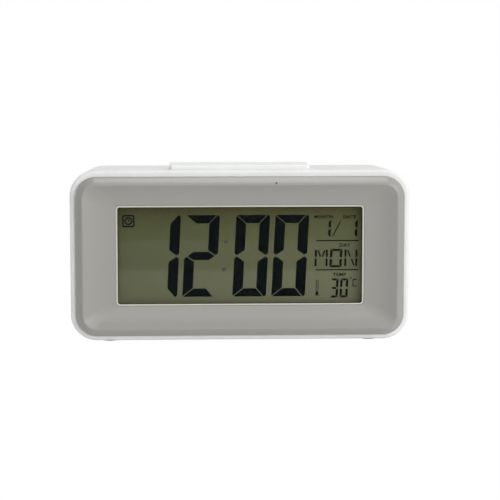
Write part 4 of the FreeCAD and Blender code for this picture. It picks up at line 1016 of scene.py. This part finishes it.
# battery door: a lid with a rounded hinge edge, two hooks, a spring latch and finger grips
door = {"half": 26.5, "low": 9.3, "high": 45.6, "back": 20.0, "face": 21.7, "corner": 1.0, "round": 0.3,
        "hinge": (20.85, 10.15), "latchHalf": 6.0, "latchDrop": 5.0, "slit": 1.0,
        "gripTop": 36.6, "gripPitch": 1.8, "gripCount": 4, "grip": (6.0, 0.5, 0.6), "gripRound": 0.2,
        "hookX": 14.0, "hookHalf": 3, "hookIn": 1.2, "hookReach": 1.6, "openingRound": 0.15}


def makeDoor():
    half, low, high, back, face = (door[key] for key in ("half", "low", "high", "back", "face"))
    hingeY, hingeZ = door["hinge"]
    lid = addBox("batteryDoor", (-half, back, hingeZ), (half, face, high))
    roundEdges(lid, lambda start, end: abs((end - start).y) > 1 and start.z > high - 1, door["corner"], 8)
    roundEdges(lid, lambda start, end: onPlane(1, face)(start, end) and max(start.z, end.z) > hingeZ + 0.01,
               door["round"], 4)
    sides, hook, inside = (-door["hookX"], door["hookX"]), door["hookHalf"], back - door["hookIn"]
    hookTop = hingeZ + door["hookIn"]
    add(lid, [addBar("hingeEdge", (-half, hingeY, hingeZ), (1, 0, 0), (face - back) / 2, 2 * half, 40)])
    add(lid, spaced(addBox("hookRoot", (-hook, inside, hingeZ), (hook, hingeY, hookTop)), sides))
    add(lid, spaced(addBox("hook", (-hook, inside, low - door["hookReach"]), (hook, back - 0.1, hookTop)),
                    sides))
    slitHalf = door["slit"] / 2
    slit = addBox("slit", (-slitHalf, back - 1, high - door["latchDrop"]), (slitHalf, face + 1, high + 1))
    gripHalf, gripReach, gripDepth = door["grip"]
    grip = addBox("grip", (-gripHalf, face - gripDepth, -gripReach), (gripHalf, face + 1, gripReach))
    bottom = onPlane(1, face - gripDepth)
    roundEdges(grip, lambda start, end: bottom(start, end) and abs((end - start).x) > 1, door["gripRound"], 3)
    grips = [(0, 0, door["gripTop"] - step * door["gripPitch"]) for step in range(door["gripCount"])]
    cut(lid, spaced(slit, (-door["latchHalf"], door["latchHalf"])) + repeated(grip, grips))
    softenOpenings(lid, 1, face, door["openingRound"])
    smooth(lid)
    handOver(lid, "door", "case_white", ["battery_door"])


makeDoor()
print("battery door made")


# the inner pieces keep their solids and get their finishes
def dressNodes():
    slots = {part["node"]: part["material_slot"] for part in frame["record"]["subparts"]}
    for name, node in frame["nodes"].items():
        finish = finishes[slots[name]]
        if not node.data.materials:
            node.data.materials.append(finish)
        for index in range(len(node.data.materials)):
            node.data.materials[index] = finish


dressNodes()
print("inner pieces dressed")

# floor, backdrop, lamps and camera; metres and watts
studio = {
    "halfWide": 2.4, "deep": 1.4, "bend": 0.7, "high": 1.6, "floorTone": (0.92, 0.92, 0.92), "glow": 0.95,
    "world": 0.25,
    "lamps": {
        "over": ((0.05, -0.06, 0.8), 0.4, 1.65),
        "right": ((1.3, -1.0, 0.7), 1.4, 16.8),
        "front": ((0.1, -1.6, 0.3), 1.6, 7.5),
        "behind": ((-1.0, 0.6, 0.25), 0.6, 3.0),
    },
}


# one shader for rays that are seen directly, in a reflection or through glass, and a plain one for others
def mixSeen(tree, plain, seen, sinkName, share=1.0):
    path = tree.nodes.new("ShaderNodeLightPath")
    mirrored = addMath(tree, "MAXIMUM", path.outputs["Is Camera Ray"], path.outputs["Is Glossy Ray"])
    ray = addMath(tree, "MAXIMUM", mirrored, path.outputs["Is Transmission Ray"])
    mix = tree.nodes.new("ShaderNodeMixShader")
    tree.links.new(addMath(tree, "MULTIPLY", ray, share), mix.inputs[0])
    tree.links.new(plain.outputs[0], mix.inputs[1])
    tree.links.new(seen.outputs[0], mix.inputs[2])
    tree.links.new(mix.outputs[0], tree.nodes[sinkName].inputs["Surface"])


def makeSweep():
    bpy.ops.object.select_all(action="DESELECT")
    bpy.ops.mesh.primitive_plane_add(size=1, location=(0, 0, 0))
    floor = bpy.context.object
    floor.name = "floor"
    floor.scale = (2 * studio["halfWide"], 2 * studio["deep"], 1)
    bpy.ops.object.transform_apply(location=True, rotation=True, scale=True)
    pickEdges(floor, onPlane(1, studio["deep"] / mm, 1))
    bpy.ops.mesh.extrude_region_move(TRANSFORM_OT_translate={"value": (0, 0, studio["high"])})
    done()
    pickEdges(floor, lambda start, end: onPlane(1, studio["deep"] / mm, 1)(start, end)
              and onPlane(2, 0, 1)(start, end))
    bpy.ops.mesh.bevel(offset=studio["bend"], segments=24, affect="EDGES", clamp_overlap=False)
    done()
    useOnly(floor)
    bpy.ops.object.shade_smooth_by_angle(angle=math.radians(40))
    material = bpy.data.materials.new("paleFloor")
    material.use_nodes = True
    tree = material.node_tree
    shader = tree.nodes["Principled BSDF"]
    shader.inputs["Base Color"].default_value = (*studio["floorTone"], 1)
    shader.inputs["Roughness"].default_value = 0.9
    glow = tree.nodes.new("ShaderNodeEmission")
    glow.inputs["Strength"].default_value = 1.02
    mixSeen(tree, shader, glow, "Material Output", studio["glow"])
    floor.data.materials.append(material)


def makeWorld():
    world = bpy.data.worlds.new("studioWorld")
    bpy.context.scene.world = world
    world.use_nodes = True
    tree = world.node_tree
    dim, seen = tree.nodes["Background"], tree.nodes.new("ShaderNodeBackground")
    for node in (dim, seen):
        node.inputs["Color"].default_value = (1, 1, 1, 1)
    dim.inputs["Strength"].default_value = studio["world"]
    mixSeen(tree, dim, seen, "World Output")


def makeLamps():
    for name, (where, size, power) in studio["lamps"].items():
        lamp = bpy.data.lights.new(name, "AREA")
        lamp.size = size
        lamp.energy = power
        holder = bpy.data.objects.new(name, lamp)
        bpy.context.scene.collection.objects.link(holder)
        holder.location = where
        holder.rotation_euler = (Vector((0, 0, 0.03)) - Vector(where)).to_track_quat("-Z", "Y").to_euler()


makeSweep()
makeWorld()
makeLamps()
bpy.context.scene.view_settings.view_transform = "Standard"

camera = {"place": (-24.4, -718.0, 121.5), "aim": (3.9, -19.2, 36.9), "lens": 127.56}


def makeCamera():
    data = bpy.data.cameras.new("camera")
    data.lens = camera["lens"]
    data.sensor_width = 36
    data.clip_start = 0.01
    holder = bpy.data.objects.new("camera", data)
    bpy.context.scene.collection.objects.link(holder)
    holder.location = Vector(camera["place"]) * mm
    view = Vector(camera["aim"]) - Vector(camera["place"])
    holder.rotation_euler = view.to_track_quat("-Z", "Y").to_euler()
    bpy.context.scene.camera = holder


makeCamera()
print("studio made")
